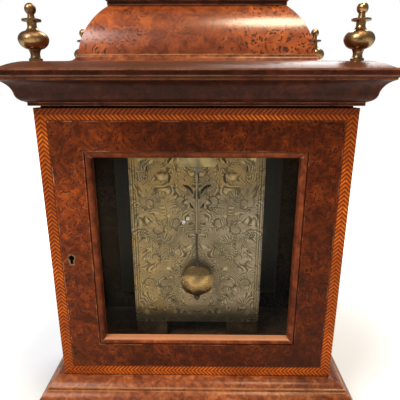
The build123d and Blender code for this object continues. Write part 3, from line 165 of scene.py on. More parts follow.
def make_wear_group():
    tree, given, result = start_group(
        "Worn edges", [("Width", FLOAT, 0.002), ("Amount", FLOAT, 0.5)], [("Mask", FLOAT)]
    )
    soft = add_node(tree, "ShaderNodeBevel", {"Radius": given["Width"]}, samples=4).outputs[0]
    true = add_node(tree, "ShaderNodeNewGeometry").outputs["Normal"]
    along = add_node(
        tree, "ShaderNodeVectorMath", {0: soft, 1: true}, operation="DOT_PRODUCT"
    ).outputs["Value"]
    edge = ramp_between(tree, along, 0.995, 0.9)
    place = add_node(tree, "ShaderNodeTexCoord").outputs["Object"]
    patchy = add_node(
        tree, "ShaderNodeTexNoise", {"Vector": place, "Scale": 90.0, "Detail": 5.0, "Roughness": 0.7}
    )
    gate = ramp_between(tree, calc(tree, "ADD", patchy.outputs["Fac"], given["Amount"]), 0.8, 1.15)
    tree.links.new(calc(tree, "MULTIPLY", edge, gate, clamp=True), result["Mask"])
    return tree


wear_group = make_wear_group()
print("wear group nodes:", len(wear_group.nodes))

# %% [markdown]
# ## Polished wood
# Every wood on the case is the burr group with its own colours and scale, worn at its
# edges. Old shellac shines weakly and warm, so the shine is tinted. Only the bell keeps
# a thick coat, and that gives its long soft highlights. Some woods carry painted light:
# faces that look up are paler, and one stile of the door is lighter. One function makes
# all the woods, so that they look like one family.

# %% Wood finishes


def start_material(name):
    material = bpy.data.materials.new(name)
    material.use_nodes = True
    tree = material.node_tree
    return material, tree, tree.nodes["Principled BSDF"]


def use_group(tree, group, **values):
    node = add_node(tree, "ShaderNodeGroup", node_tree=group)
    for label, value in values.items():
        node.inputs[label].default_value = value
    return node.outputs


SHELLAC = (1.0, 0.5, 0.28, 1)
PAINTED_LIGHT_SIDE = (0.055, 0.085)  # across, in metres from the middle: where the stile painted lighter begins
DARK_FOOT = (0.095, 0.06)  # heights between which the foot of the door darkens
FOOT_DARKER_COLOUR = (0.02, 0.004, 0.002, 1)


def polished_wood(
    name, dark, middle, light, scale=1.0, eyes=0.5, worn=0.35, pale=(0.5, 0.22, 0.1), rough=0.38,
    coat=0.04, painted_top_light=0.0, lean=0.0,
):
    material, tree, shader = start_material(name)
    burr = use_group(
        tree, burr_group, Scale=scale, Eyes=eyes, Dark=(*dark, 1), Middle=(*middle, 1), Light=(*light, 1)
    )
    wear = use_group(tree, wear_group, Width=0.0016, Amount=worn)
    colour = blend_colour(tree, wear["Mask"], burr["Color"], (*pale, 1))
    if painted_top_light:  # painted light from above: faces that look up are paler
        normal = add_node(tree, "ShaderNodeNewGeometry").outputs["Normal"]
        facing = add_node(tree, "ShaderNodeSeparateXYZ", {0: normal})
        upward = calc(tree, "MULTIPLY", ramp_between(tree, facing.outputs["Z"], 0.35, 0.85), painted_top_light)
        colour = blend_colour(tree, upward, colour, (*pale, 1))
    if lean:  # painted light: the stile on the +X side is lighter, and the foot of the door is darker
        spot = add_node(tree, "ShaderNodeTexCoord").outputs["Object"]
        place = add_node(tree, "ShaderNodeSeparateXYZ", {0: spot})
        painted_light_mask = ramp_between(tree, place.outputs["X"], *PAINTED_LIGHT_SIDE)
        painted_light_gain = (1 + lean, 1 + 1.3 * lean, 1 + 1.3 * lean, 1)
        painted_lit_colour = blend_colour(tree, 1.0, colour, painted_light_gain, mode="MULTIPLY")
        colour = blend_colour(tree, painted_light_mask, colour, painted_lit_colour)
        foot = ramp_between(tree, place.outputs["Z"], *DARK_FOOT)
        colour = blend_colour(tree, calc(tree, "MULTIPLY", foot, 0.45), colour, FOOT_DARKER_COLOUR)
    bump = add_node(tree, "ShaderNodeBump", {"Height": burr["Height"], "Strength": 0.12, "Distance": 0.0006})
    tree.links.new(colour, shader.inputs["Base Color"])
    tree.links.new(bump.outputs[0], shader.inputs["Normal"])
    tree.links.new(
        calc(tree, "ADD", calc(tree, "MULTIPLY", burr["Eye"], 0.2), rough), shader.inputs["Roughness"]
    )
    shader.inputs["Specular IOR Level"].default_value = 0.2
    shader.inputs["Specular Tint"].default_value = SHELLAC
    shader.inputs["Coat Weight"].default_value = coat
    shader.inputs["Coat Roughness"].default_value = 0.2
    return material


# %% The woods of the case
door_veneer = polished_wood(
    "Door veneer", (0.035, 0.006, 0.002), (0.095, 0.015, 0.003), (0.19, 0.034, 0.005),
    scale=1.2, eyes=0.68, lean=1.0,
)
bell_veneer = polished_wood(
    "Bell veneer", (0.12, 0.022, 0.006), (0.26, 0.056, 0.012), (0.44, 0.105, 0.02),
    scale=0.9, eyes=0.58, coat=0.8,
)
base_moulding = polished_wood(
    "Base moulding", (0.08, 0.018, 0.008), (0.19, 0.05, 0.018), (0.36, 0.12, 0.04),
    scale=1.3, eyes=0.4, worn=0.55, pale=(0.56, 0.28, 0.12), coat=0.15,
)
# The cornice is darker than the base: partly its own dark wood, partly painted shade for its undercut faces,
# which look down.
cornice_moulding = polished_wood(
    "Cornice moulding", (0.012, 0.003, 0.002), (0.038, 0.008, 0.005), (0.085, 0.019, 0.009),
    scale=1.1, eyes=0.5, worn=0.55, pale=(0.36, 0.13, 0.055), coat=0.15, painted_top_light=0.15,
)
sight_moulding = polished_wood(
    "Sight moulding", (0.06, 0.012, 0.006), (0.16, 0.034, 0.012), (0.3, 0.08, 0.026),
    scale=1.3, eyes=0.3, worn=0.6, pale=(0.62, 0.27, 0.13), painted_top_light=0.65,
)
side_wood = polished_wood(
    "Case sides", (0.05, 0.013, 0.008), (0.11, 0.03, 0.014), (0.19, 0.055, 0.022), eyes=0.42,
)
# The inside wood is plain dark wood, made darker still as painted shade inside the closed case.
inside_wood_and_shade = polished_wood(
    "Inside wood", (0.016, 0.011, 0.006), (0.034, 0.024, 0.012), (0.055, 0.04, 0.02),
    worn=0.0, coat=0.0, rough=0.6,
)
seat_wood = polished_wood(
    "Seat board", (0.05, 0.03, 0.015), (0.09, 0.055, 0.028), (0.14, 0.09, 0.045),
    eyes=0.2, worn=0.2, coat=0.0, rough=0.6,
)
print("nodes in the door's veneer:", len(door_veneer.node_tree.nodes))

# %% [markdown]
# ## Herringbone stringing
# The band round each door is laid from short slips in two rows that lean opposite ways.
# The pattern needs to know how far a point is along and across the band. The distance
# to the nearer door edge is across, and the other coordinate is along, so the band turns
# its own mitred corners. A thin dark line closes the band on its inner side. The slips
# could be small solids, but there would be hundreds on each door, too fine to be seen.

# %% The herringbone group
BAND, PITCH = 9.6 * MM, 3.6 * MM
INNER_LINE = (BAND - 0.9 * MM, BAND - 0.6 * MM)
SPINE = (0.35 * MM, 0.1 * MM)
door_low, door_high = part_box("back_door")
HALF_DOOR = (door_high.x - door_low.x) / 2
MID_DOOR, HALF_TALL = (door_high.z + door_low.z) / 2, (door_high.z - door_low.z) / 2


def make_herringbone_group():
    tree, given, result = start_group(
        "Herringbone",
        [("Band", FLOAT, BAND), ("Pitch", FLOAT, PITCH), ("Half width", FLOAT, HALF_DOOR),
         ("Half height", FLOAT, HALF_TALL), ("Middle height", FLOAT, MID_DOOR)],
        [("Slip", FLOAT), ("Edge line", FLOAT), ("Tint", FLOAT), ("Level", FLOAT)],
    )
    place = add_node(tree, "ShaderNodeTexCoord").outputs["Object"]
    split = add_node(tree, "ShaderNodeSeparateXYZ", {0: place}).outputs
    up = calc(tree, "SUBTRACT", split["Z"], given["Middle height"])
    from_side = calc(tree, "SUBTRACT", given["Half width"], calc(tree, "ABSOLUTE", split["X"]))
    from_end = calc(tree, "SUBTRACT", given["Half height"], calc(tree, "ABSOLUTE", up))
    across = calc(tree, "MINIMUM", from_side, from_end)
    is_side = calc(tree, "LESS_THAN", from_side, from_end)
    along = calc(tree, "ADD", calc(tree, "MULTIPLY", is_side, up),
                 calc(tree, "MULTIPLY", calc(tree, "SUBTRACT", 1.0, is_side), split["X"]))
    middle = calc(tree, "MULTIPLY", given["Band"], 0.5)
    slope = calc(tree, "ABSOLUTE", calc(tree, "SUBTRACT", across, middle))
    steps = calc(tree, "DIVIDE", calc(tree, "ADD", along, slope), given["Pitch"])
    part = calc(tree, "FRACT", steps)
    slip = calc(tree, "MULTIPLY", ramp_between(tree, part, 0.42, 0.55), ramp_between(tree, part, 1.0, 0.88))
    inner = ramp_between(tree, across, *INNER_LINE)
    spine = ramp_between(tree, slope, *SPINE)
    line = calc(tree, "MAXIMUM", inner, calc(tree, "MULTIPLY", spine, 0.35))
    tint = add_node(tree, "ShaderNodeTexWhiteNoise", {"W": calc(tree, "FLOOR", steps)}, noise_dimensions="1D")
    for name, value in (("Slip", slip), ("Edge line", line), ("Tint", tint.outputs["Value"]), ("Level", up)):
        tree.links.new(value, result[name])
    return tree


herringbone_group = make_herringbone_group()
print("herringbone group nodes:", len(herringbone_group.nodes))


# %% The inlay
TOP_RUN = (0.1155, 0.1168)  # above this height over the door's middle the band is darker


def make_inlay():
    material, tree, shader = start_material("Herringbone inlay")
    pattern = use_group(tree, herringbone_group)
    burr = use_group(
        tree, burr_group, Scale=2.0, Eyes=0.2, Dark=(0.34, 0.062, 0.006, 1),
        Middle=(0.52, 0.105, 0.009, 1), Light=(0.68, 0.17, 0.016, 1),
    )
    tinted = blend_colour(
        tree, calc(tree, "MULTIPLY", pattern["Tint"], 0.45), burr["Color"], (0.42, 0.085, 0.01, 1)
    )
    upper_row = ramp_between(tree, pattern["Level"], *TOP_RUN)
    top_run_darker = blend_colour(tree, calc(tree, "MULTIPLY", upper_row, 0.7), tinted, (0.13, 0.03, 0.014, 1))
    slips = blend_colour(tree, calc(tree, "MULTIPLY", pattern["Slip"], 0.9), top_run_darker, (0.09, 0.016, 0.006, 1))
    colour = blend_colour(
        tree, calc(tree, "MULTIPLY", pattern["Edge line"], 0.8), slips, (0.07, 0.014, 0.006, 1)
    )
    tree.links.new(colour, shader.inputs["Base Color"])
    bump = add_node(tree, "ShaderNodeBump", {"Height": pattern["Slip"], "Strength": 0.2, "Distance": 0.0002})
    tree.links.new(bump.outputs[0], shader.inputs["Normal"])
    tree.links.new(
        calc(tree, "ADD", calc(tree, "MULTIPLY", burr["Height"], 0.2), 0.26), shader.inputs["Roughness"]
    )
    shader.inputs["Specular IOR Level"].default_value = 0.12
    shader.inputs["Specular Tint"].default_value = SHELLAC
    shader.inputs["Coat Weight"].default_value = 0.03
    shader.inputs["Coat Roughness"].default_value = 0.25
    return material


inlay = make_inlay()
print("band width, mm:", round(BAND / MM, 2))

# %% [markdown]
# ## Brass and steel
# Old brass isn't one colour. Tarnish lies in soft patches, rubbed places stay bright,
# and the roughness follows the tarnish, so both change together. Two colours, two
# roughnesses and the size of the patches are enough for every metal here, from the
# silvered ring to blued steel.

# %% Metal finishes


def aged_metal(name, bright, dull, scale=60.0, rough=(0.22, 0.5), worn=0.3, shift=0.0, metallic=1.0):
    material, tree, shader = start_material(name)
    place = add_node(tree, "ShaderNodeTexCoord").outputs["Object"]
    patches = add_node(
        tree, "ShaderNodeTexNoise", {"Vector": place, "Scale": scale, "Detail": 6.0, "Roughness": 0.65}
    )
    fine = add_node(tree, "ShaderNodeTexNoise", {"Vector": place, "Scale": scale * 14, "Detail": 3.0})
    tarnish = ramp_between(tree, calc(tree, "ADD", patches.outputs["Fac"], shift), 0.42, 0.62)
    colour = blend_colour(tree, tarnish, (*bright, 1), (*dull, 1))
    if worn:
        wear = use_group(tree, wear_group, Width=0.001, Amount=worn)
        colour = blend_colour(tree, wear["Mask"], colour, (*bright, 1))
    tree.links.new(colour, shader.inputs["Base Color"])
    spread = calc(tree, "MULTIPLY", tarnish, rough[1] - rough[0])
    tree.links.new(calc(tree, "ADD", spread, rough[0]), shader.inputs["Roughness"])
    bump = add_node(
        tree, "ShaderNodeBump", {"Height": fine.outputs["Fac"], "Strength": 0.1, "Distance": 0.0002}
    )
    tree.links.new(bump.outputs[0], shader.inputs["Normal"])
    shader.inputs["Metallic"].default_value = metallic
    return material


# %% The metals of the clock
old_brass = aged_metal("Old brass", (0.44, 0.26, 0.11), (0.11, 0.055, 0.03), rough=(0.26, 0.5), worn=0.4)
movement_brass = aged_metal(
    "Movement brass", (0.6, 0.46, 0.2), (0.36, 0.28, 0.14), scale=40.0, rough=(0.3, 0.45)
)
bob_brass = aged_metal("Bob brass", (0.5, 0.32, 0.12), (0.19, 0.125, 0.06), scale=70.0, rough=(0.2, 0.36))
dial_brass = aged_metal("Dial brass", (0.95, 0.7, 0.3), (0.75, 0.53, 0.22), rough=(0.2, 0.35))
silvering = aged_metal(
    "Silvered ring", (0.78, 0.77, 0.71), (0.68, 0.66, 0.59), rough=(0.35, 0.5), worn=0.0, metallic=0.7,
)
blued_steel = aged_metal("Blued steel", (0.03, 0.05, 0.14), (0.02, 0.025, 0.05), rough=(0.2, 0.3), worn=0.0)
steel = aged_metal("Steel", (0.62, 0.61, 0.6), (0.36, 0.35, 0.34), rough=(0.2, 0.4))
dull_steel = aged_metal(
    "Dull steel", (0.4, 0.34, 0.23), (0.28, 0.23, 0.15), rough=(0.5, 0.6), worn=0.0, metallic=0.3
)
rod_wire = aged_metal(
    "Pendulum wire", (0.46, 0.38, 0.24), (0.36, 0.29, 0.17), rough=(0.4, 0.5), worn=0.0, metallic=0.5
)
rod_brass = aged_metal("Rod brass", (0.22, 0.15, 0.08), (0.12, 0.085, 0.05), rough=(0.35, 0.5), worn=0.0)
cut_line = aged_metal(
    "Engraved cut", (0.11, 0.085, 0.045), (0.05, 0.038, 0.022), rough=(0.5, 0.7), worn=0.0, metallic=0.3
)
shallow_cut = aged_metal(
    "Shallow cut", (0.22, 0.17, 0.09), (0.12, 0.09, 0.045), rough=(0.45, 0.6), worn=0.0, metallic=0.5
)
bright_cut = aged_metal(
    "Bright cut", (0.85, 0.78, 0.5), (0.7, 0.62, 0.38), rough=(0.25, 0.35), worn=0.0, metallic=0.9
)
print("materials so far:", len(bpy.data.materials))

# %% [markdown]
# ## The engraved plate's ground
# Between the scrolls the engraver left fine curling strokes. Lines of equal height on a
# slow noise curl in just that way, so the sine of the noise draws them. The noise reads
# the distance from the plate's middle, so the two halves mirror each other. As meshes
# these strokes would outweigh the whole clock, so they are colour and bump only.

# %% Engraved ground


def make_plate_brass():
    material, tree, shader = start_material("Engraved plate")
    place = add_node(tree, "ShaderNodeTexCoord").outputs["Object"]
    split = add_node(tree, "ShaderNodeSeparateXYZ", {0: place}).outputs
    aside = calc(tree, "ABSOLUTE", split["X"])
    mirrored = add_node(tree, "ShaderNodeCombineXYZ", {0: aside, 1: split["Y"], 2: split["Z"]}).outputs[0]
    hills = add_node(
        tree, "ShaderNodeTexNoise", {"Vector": mirrored, "Scale": 42.0, "Detail": 1.5, "Distortion": 0.6}
    )
    strokes = calc(tree, "SINE", calc(tree, "MULTIPLY", hills.outputs["Fac"], 130.0))
    breaks = add_node(
        tree, "ShaderNodeTexNoise", {"Vector": mirrored, "Scale": 160.0, "Detail": 2.0}
    ).outputs["Fac"]
    cut = calc(
        tree, "MULTIPLY", ramp_between(tree, strokes, 0.1, 0.85), ramp_between(tree, breaks, 0.42, 0.56)
    )
    glint = calc(
        tree, "MULTIPLY", ramp_between(tree, strokes, -0.5, -0.95), ramp_between(tree, breaks, 0.45, 0.6)
    )
    patches = add_node(
        tree, "ShaderNodeTexNoise", {"Vector": place, "Scale": 26.0, "Detail": 5.0, "Roughness": 0.6}
    )
    # Painted reflection: the half of the plate on the +X side is warmer, where the glass in front would
    # reflect light.
    ragged_x = calc(tree, "ADD", split["X"], calc(tree, "MULTIPLY", patches.outputs["Fac"], 0.04))
    side = ramp_between(tree, ragged_x, 0.0, 0.06)
    ground = blend_colour(tree, side, (0.37, 0.295, 0.185, 1), (0.43, 0.295, 0.115, 1))
    ragged_z = calc(tree, "ADD", split["Z"], calc(tree, "MULTIPLY", patches.outputs["Fac"], 0.03))
    high = ramp_between(tree, ragged_z, 0.222, 0.242)
    ground = blend_colour(tree, calc(tree, "MULTIPLY", high, 0.7), ground, (0.44, 0.265, 0.065, 1))
    mottled = blend_colour(
        tree, ramp_between(tree, patches.outputs["Fac"], 0.4, 0.66), ground, (0.235, 0.18, 0.095, 1)
    )
    # The plate is darker towards its foot.
    foot = ramp_between(tree, split["Z"], 0.112, 0.09)
    darker_plate_foot = blend_colour(tree, calc(tree, "MULTIPLY", foot, 0.75), mottled, (0.13, 0.1, 0.03, 1))
    lined = blend_colour(tree, calc(tree, "MULTIPLY", cut, 0.7), darker_plate_foot, (0.1, 0.075, 0.035, 1))
    colour = blend_colour(tree, calc(tree, "MULTIPLY", glint, 0.4), lined, (0.8, 0.66, 0.35, 1))
    tree.links.new(colour, shader.inputs["Base Color"])
    bump = add_node(tree, "ShaderNodeBump", {"Height": strokes, "Strength": 0.25, "Distance": 0.0002})
    tree.links.new(bump.outputs[0], shader.inputs["Normal"])
    tree.links.new(calc(tree, "ADD", calc(tree, "MULTIPLY", cut, 0.2), 0.36), shader.inputs["Roughness"])
    shader.inputs["Metallic"].default_value = 0.75
    return material


plate_brass = make_plate_brass()
print("nodes in the plate's brass:", len(plate_brass.node_tree.nodes))

# %% [markdown]
# ## Glass
# Thin old glass hardly bends what is behind it, so a pane is shown as clear from the
# front, and it hides more when it is seen at a slant. Fresnel drives the alpha. Glass
# that bends light would be truer, but it is slower and darkens the plate behind it.

# %% Clear panes


def make_glass():
    material, tree, shader = start_material("Clear pane")
    slanted = add_node(tree, "ShaderNodeFresnel", {"IOR": 1.45}).outputs[0]
    cover = calc(tree, "ADD", calc(tree, "MULTIPLY", slanted, 0.5), 0.005, clamp=True)
    tree.links.new(cover, shader.inputs["Alpha"])
    shader.inputs["Base Color"].default_value = (0.05, 0.06, 0.06, 1)
    shader.inputs["Roughness"].default_value = 0.03
    shader.inputs["Specular IOR Level"].default_value = 0.5
    return material


glass = make_glass()
print("pane material:", glass.name)

# %% [markdown]
# ## Which finish goes where
# A CAD piece keeps its mesh. Only its material slot changes. A list from name to finish
# is easier to check than a line for each piece. What isn't in the list belongs to the
# movement, and takes the movement's brass.

# %% Give the CAD pieces their finishes
finishes = {
    "base_moulding": base_moulding, "feet": base_moulding, "bell_skirt": base_moulding,
    "base_board": inside_wood_and_shade, "top_board": inside_wood_and_shade, "dial_mask": inside_wood_and_shade,
    "cornice": cornice_moulding, "bell_bead": cornice_moulding, "top_pad": cornice_moulding,
    "bell": bell_veneer, "bell_neck": bell_veneer, "seat_board": seat_wood, "seat_rails": seat_wood,
    "finials": old_brass, "handle_posts": old_brass, "handle": old_brass,
    "chapter_ring": silvering, "spandrels": dial_brass, "hour_hand": blued_steel,
    "minute_hand": blued_steel, "pallets": dull_steel, "pendulum_rod": rod_wire,
    "pendulum_bob": bob_brass, "back_plate": plate_brass,
}
for side in ("left", "right"):
    finishes |= {f"side_{side}": side_wood, f"side_sight_{side}": sight_moulding, f"side_glass_{side}": glass}
for end in ("back", "front"):
    finishes |= {
        f"{end}_door": door_veneer, f"{end}_door_inlay": inlay,
        f"{end}_door_sight_moulding": sight_moulding, f"{end}_door_glass": glass,
        f"{end}_door_escutcheon": rod_brass, f"{end}_door_lock": steel, f"{end}_door_bolt": steel,
        f"{end}_hinge_door_leaves": old_brass, f"{end}_hinge_case_leaves": old_brass,
    }


def set_finish(piece, material):
    if piece.material_slots:
        piece.material_slots[0].material = material
    else:
        piece.data.materials.append(material)


for name, piece in clock.items():
    set_finish(piece, finishes.get(name, movement_brass))
print("finishes given to", len(clock), "pieces")

# %% [markdown]
# ## Geometry nodes for the engraving
# An engraver cuts lines of changing width. Here each line is a curve, and one tree turns
# all of them into fine raised strokes: a small four-sided profile swept along the curve,
# its size taken from the curve's radius. One tree serves the dark and the bright cuts. A
# curve's own bevel could do this too, but a tree has named sizes and sets the material.

# %% Helpers for geometry nodes


def start_geometry(name, inputs):
    tree = bpy.data.node_groups.new(name, "GeometryNodeTree")
    tree.interface.new_socket("Geometry", in_out="INPUT", socket_type="NodeSocketGeometry")
    for label, kind, value in inputs:
        socket = tree.interface.new_socket(label, in_out="INPUT", socket_type=kind)
        if value is not None:
            socket.default_value = value
    tree.interface.new_socket("Geometry", in_out="OUTPUT", socket_type="NodeSocketGeometry")
    return tree, tree.nodes.new("NodeGroupInput").outputs, tree.nodes.new("NodeGroupOutput").inputs


def sweep_line(tree, curve, size):
    profile = add_node(tree, "GeometryNodeCurvePrimitiveCircle", {"Resolution": 4, "Radius": size})
    swept = add_node(tree, "GeometryNodeCurveToMesh", {"Curve": curve, "Profile Curve": profile.outputs[0]})
    if "Scale" in swept.inputs:  # older versions take the curve's radius by themselves
        tree.links.new(add_node(tree, "GeometryNodeInputRadius").outputs[0], swept.inputs["Scale"])
    return swept.outputs[0]


def end_geometry(tree, geometry, result, material):
    real = add_node(tree, "GeometryNodeRealizeInstances", {0: geometry}).outputs[0]
    done = add_node(tree, "GeometryNodeSetMaterial", {"Geometry": real, "Material": material})
    tree.links.new(done.outputs[0], result["Geometry"])


# %% The stroke tree


def make_stroke_tree():
    tree, given, result = start_geometry(
        "Engraved strokes", [("Half width", FLOAT, 0.3 * MM), ("Finish", FINISH, None)]
    )
    end_geometry(tree, sweep_line(tree, given["Geometry"], given["Half width"]), result, given["Finish"])
    return tree


stroke_tree = make_stroke_tree()
print("stroke tree nodes:", len(stroke_tree.nodes))

# %% From a tree to a plain mesh


def grow(source, tree, name, **values):
    """Runs a geometry tree on an object and keeps the result as a plain mesh."""
    modifier = source.modifiers.new(name, "NODES")
    modifier.node_group = tree
    for item in tree.interface.items_tree:
        if item.in_out == "INPUT" and item.name in values:
            modifier[item.identifier] = values[item.name]
    bpy.context.view_layer.update()
    evaluated = source.evaluated_get(bpy.context.evaluated_depsgraph_get())
    mesh = bpy.data.meshes.new_from_object(evaluated)
    piece = bpy.data.objects.new(name, mesh)
    scene.collection.objects.link(piece)
    bpy.data.objects.remove(source)
    print(name, "faces:", len(mesh.polygons))
    return piece


def draw_lines(name, lines):
    """A curve object from lines of (x, y, z, radius) points."""
    curve = bpy.data.curves.new(name, "CURVE")
    curve.dimensions = "3D"
    for line in lines:
        spline = curve.splines.new("POLY")
        spline.points.add(len(line) - 1)
        for point, (x, y, z, radius) in zip(spline.points, line):
            point.co = (x, y, z, 1)
            point.radius = radius
    drawn = bpy.data.objects.new(name, curve)
    scene.collection.objects.link(drawn)
    return drawn


# %% [markdown]
# ## Scrolls on the back plate
# The plate is engraved with leafy scrolls that mirror each other about the middle. A
# scroll is a spiral with a second line beside it and leaves that fan off its outer side.
# Only one half is described, in millimetres from the foot of the plate's middle. The
# strokes stand a hair proud of the plate, because cuts would change the CAD mesh.

# %% Scrolls, leaves, fans and rings
plate_low, plate_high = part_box("back_plate")
PLATE_BACK, PLATE_FOOT = plate_high.y, plate_low.z
LIFT = 0.02 * MM  # the middle of a stroke lies this far off the plate
WIND_IN = 0.86  # the share of its size that a spiral loses from start to end
LEAF_STEPS, RING_STEPS = 6, 22


def on_plate(x, z, radius):
    return (-x * MM, PLATE_BACK + LIFT, PLATE_FOOT + z * MM, radius)


def scroll(x, z, size, start, turns, way=1):
    """A spiral stem that winds in to (x, z), with its leaves."""
    steps = int(26 * turns) + 6

    def wind(k):
        share = k / steps
        return share, math.radians(start) + way * turns * 2 * math.pi * share

    lines = []
    for gap in (1.0, 0.86):  # the stem, and the line beside it
        line = []
        for k in range(steps + 1):
            share, angle = wind(k)
            reach = size * gap * (1 - WIND_IN * share)
            width = 0.55 + 0.6 * math.sin(math.pi * share)
            line.append((x + reach * math.cos(angle), z + reach * math.sin(angle), width))
        lines.append(line)
    for k in range(2, steps - 8, 3):  # a leaf at every third step
        share, angle = wind(k)
        reach = size * (1 - WIND_IN * share)
        foot_x, foot_z = x + reach * math.cos(angle), z + reach * math.sin(angle)
        lines.append(leaf(foot_x, foot_z, math.degrees(angle) - way * 50, reach * 0.42, way * 70))
    return lines


def leaf(x, z, heading, length, bend, width=1.1):
    """A curved stroke from (x, z), thick in its middle."""
    line, angle, points = [], math.radians(heading), LEAF_STEPS + 1
    for k in range(points):
        line.append((x, z, width * (0.35 + math.sin(math.pi * (k + 0.5) / points))))
        x += length / LEAF_STEPS * math.cos(angle)
        z += length / LEAF_STEPS * math.sin(angle)
        angle += math.radians(bend) / LEAF_STEPS
    return line


def fan(x, z, heading, length, count, spread, bend):
    """Leaves from one foot, the outer ones shorter."""
    rays = []
    for k in range(count):
        turn, share = spread * (k / (count - 1) - 0.5), 1 - 0.12 * abs(k - count / 2)
        rays.append(leaf(x, z, heading + turn, length * share, bend))
    return rays


def ring(x, z, wide, tall, first, last, width=0.7):
    """Part of an oval, between two angles in degrees."""
    turns = [math.radians(first + (last - first) * k / RING_STEPS) for k in range(RING_STEPS + 1)]
    return [(x + wide * math.cos(turn), z + tall * math.sin(turn), width) for turn in turns]


# %% Where they stand on one half
SCROLLS = [  # across, up, size, start in degrees, turns, way round
    (33, 148, 17, 200, 1.6, 1), (15, 152, 9, -60, 1.2, -1), (44, 122, 10, 100, 1.3, -1),
    (37, 97, 13, -110, 1.5, 1), (20, 104, 8, 30, 1.2, -1), (40, 68, 11, 100, 1.4, -1),
    (28, 34, 13, 60, 1.5, 1), (47, 42, 8, -100, 1.2, -1), (14, 124, 8, 220, 1.2, 1),
]
FANS = [  # across, up, heading, length, leaves, spread, bend
    (34, 122, 60, 15, 7, 110, 30), (8, 116, 20, 17, 5, 50, -40), (10, 18, 10, 34, 6, 40, 25),
    (46, 18, 90, 13, 6, 120, -20), (30, 82, 100, 12, 6, 120, 30), (50, 160, 220, 12, 6, 90, 20),
    (22, 70, 60, 12, 5, 80, -30), (52, 88, 120, 12, 5, 80, 30),
]
half = []
for numbers in SCROLLS:
    half += scroll(*numbers)
for numbers in FANS:
    half += fan(*numbers)
half += [ring(0, 48, wide, 1.35 * wide, -60, 84) for wide in (19.5, 21.5, 23.5, 26.0)]
half += [ring(0, 130, wide, 1.5 * wide, -80, 60, 0.6) for wide in (9.0, 11.5)]
random.seed(5)
for z in range(60, 112, 3):
    half.append(leaf(1.2, z, 70 + random.uniform(-8, 8), 6.5, -60, 0.9))
for k in range(150):
    x, z = random.uniform(6, 54), random.uniform(12, 164)
    half.append(leaf(x, z, random.uniform(60, 120), random.uniform(3, 7), random.uniform(-90, 90), 0.55))
dark_leaves = [
    leaf(3.5, 131, 62, 12, -55, 3.2), leaf(3, 117, 35, 6, 50, 2.4), leaf(26, 140, 120, 10, -60, 2.6),
    leaf(25, 158, 100, 7, 50, 2.4), leaf(44, 150, 70, 7, 60, 1.8),
]
print("lines on one half:", len(half), "dark leaves:", len(dark_leaves))

# %% Cut both halves


def both_sides(lines):
    right = [[on_plate(x, z, r) for x, z, r in line] for line in lines]
    return right + [[on_plate(-x, z, r) for x, z, r in line] for line in lines]


def inside(lines):
    """The long stems, and the leaves that stay within the plate's border."""
    def fits(line):
        return all(1 <= abs(x) <= 55 and 6 < z < 166 for x, z, _ in line)

    return [line for line in lines if fits(line) or len(line) > 20]


def engrave(name, lines, half_width, finish):
    """Lines cut with the stroke tree, as a mesh of that name."""
    drawn = draw_lines(f"{name} lines", lines)
    return grow(drawn, stroke_tree, name, **{"Half width": half_width, "Finish": finish})


leaves = engrave("plate_dark_leaves", both_sides(dark_leaves), 0.3 * MM, cut_line)
scrolls = engrave("plate_scrolls", both_sides(inside(half)), 0.19 * MM, shallow_cut)
bright = [[(x + 0.7, z + 0.5, 0.5 * r) for x, z, r in line] for line in inside(half) if len(line) < 12]
glints = engrave("plate_bright_cuts", both_sides(bright), 0.2 * MM, bright_cut)

# %% [markdown]
# ## The leaf border
# Round the plate's edge runs one small leaf, repeated. A tree instances it at even steps
# along a rectangle, turned to follow the edge, and draws the rectangle as a line too. By
# hand it would be over a hundred copies, and each would move when the size changes. Two
# more plain lines frame the border, one outside it and one inside.

# %% Border tree


def make_border_tree():
    tree, given, result = start_geometry(
        "Leaf border",
        [("Step", FLOAT, 4.6 * MM), ("Leaf", FLOAT, 3.6 * MM), ("Half width", FLOAT, 0.3 * MM),
         ("Finish", FINISH, None)],
    )
    steps = {"Curve": given["Geometry"], "Length": given["Step"]}
    spread = add_node(tree, "GeometryNodeResampleCurve", steps, mode="LENGTH")
    bow = calc(tree, "MULTIPLY", given["Leaf"], 0.5)
    curl = {"Resolution": 7, "Radius": bow, "Start Angle": 0.2, "Sweep Angle": 3.6}
    leaf_mesh = sweep_line(tree, add_node(tree, "GeometryNodeCurveArc", curl).outputs[0], given["Half width"])
    axes = {0: (0.0, 1.0, 0.0), 1: add_node(tree, "GeometryNodeInputTangent").outputs[0]}
    facing = add_node(tree, "FunctionNodeAxesToRotation", axes, primary_axis="Z", secondary_axis="X")
    places = {"Points": spread.outputs[0], "Instance": leaf_mesh, "Rotation": facing.outputs[0]}
    stamps = add_node(tree, "GeometryNodeInstanceOnPoints", places)
    rails = sweep_line(tree, given["Geometry"], given["Half width"])
    joined = tree.nodes.new("GeometryNodeJoinGeometry")
    tree.links.new(stamps.outputs[0], joined.inputs[0])
    tree.links.new(rails, joined.inputs[0])
    end_geometry(tree, joined.outputs[0], result, given["Finish"])
    return tree


# %% The border and its frame lines
PLATE_HALF, PLATE_TALL = 60.5, 172.0
EDGE_STEPS = 12


def rectangle(inset):
    """A line round the plate, this many millimetres in from its edge."""
    side, low, high = PLATE_HALF - inset, inset, PLATE_TALL - inset
    corners = [(-side, low), (side, low), (side, high), (-side, high), (-side, low)]
    line = []
    for (x0, z0), (x1, z1) in zip(corners, corners[1:]):
        for k in range(EDGE_STEPS):
            across, up = x0 + (x1 - x0) * k / EDGE_STEPS, z0 + (z1 - z0) * k / EDGE_STEPS
            line.append(on_plate(across, up, 1.0))
    return line + [line[0]]


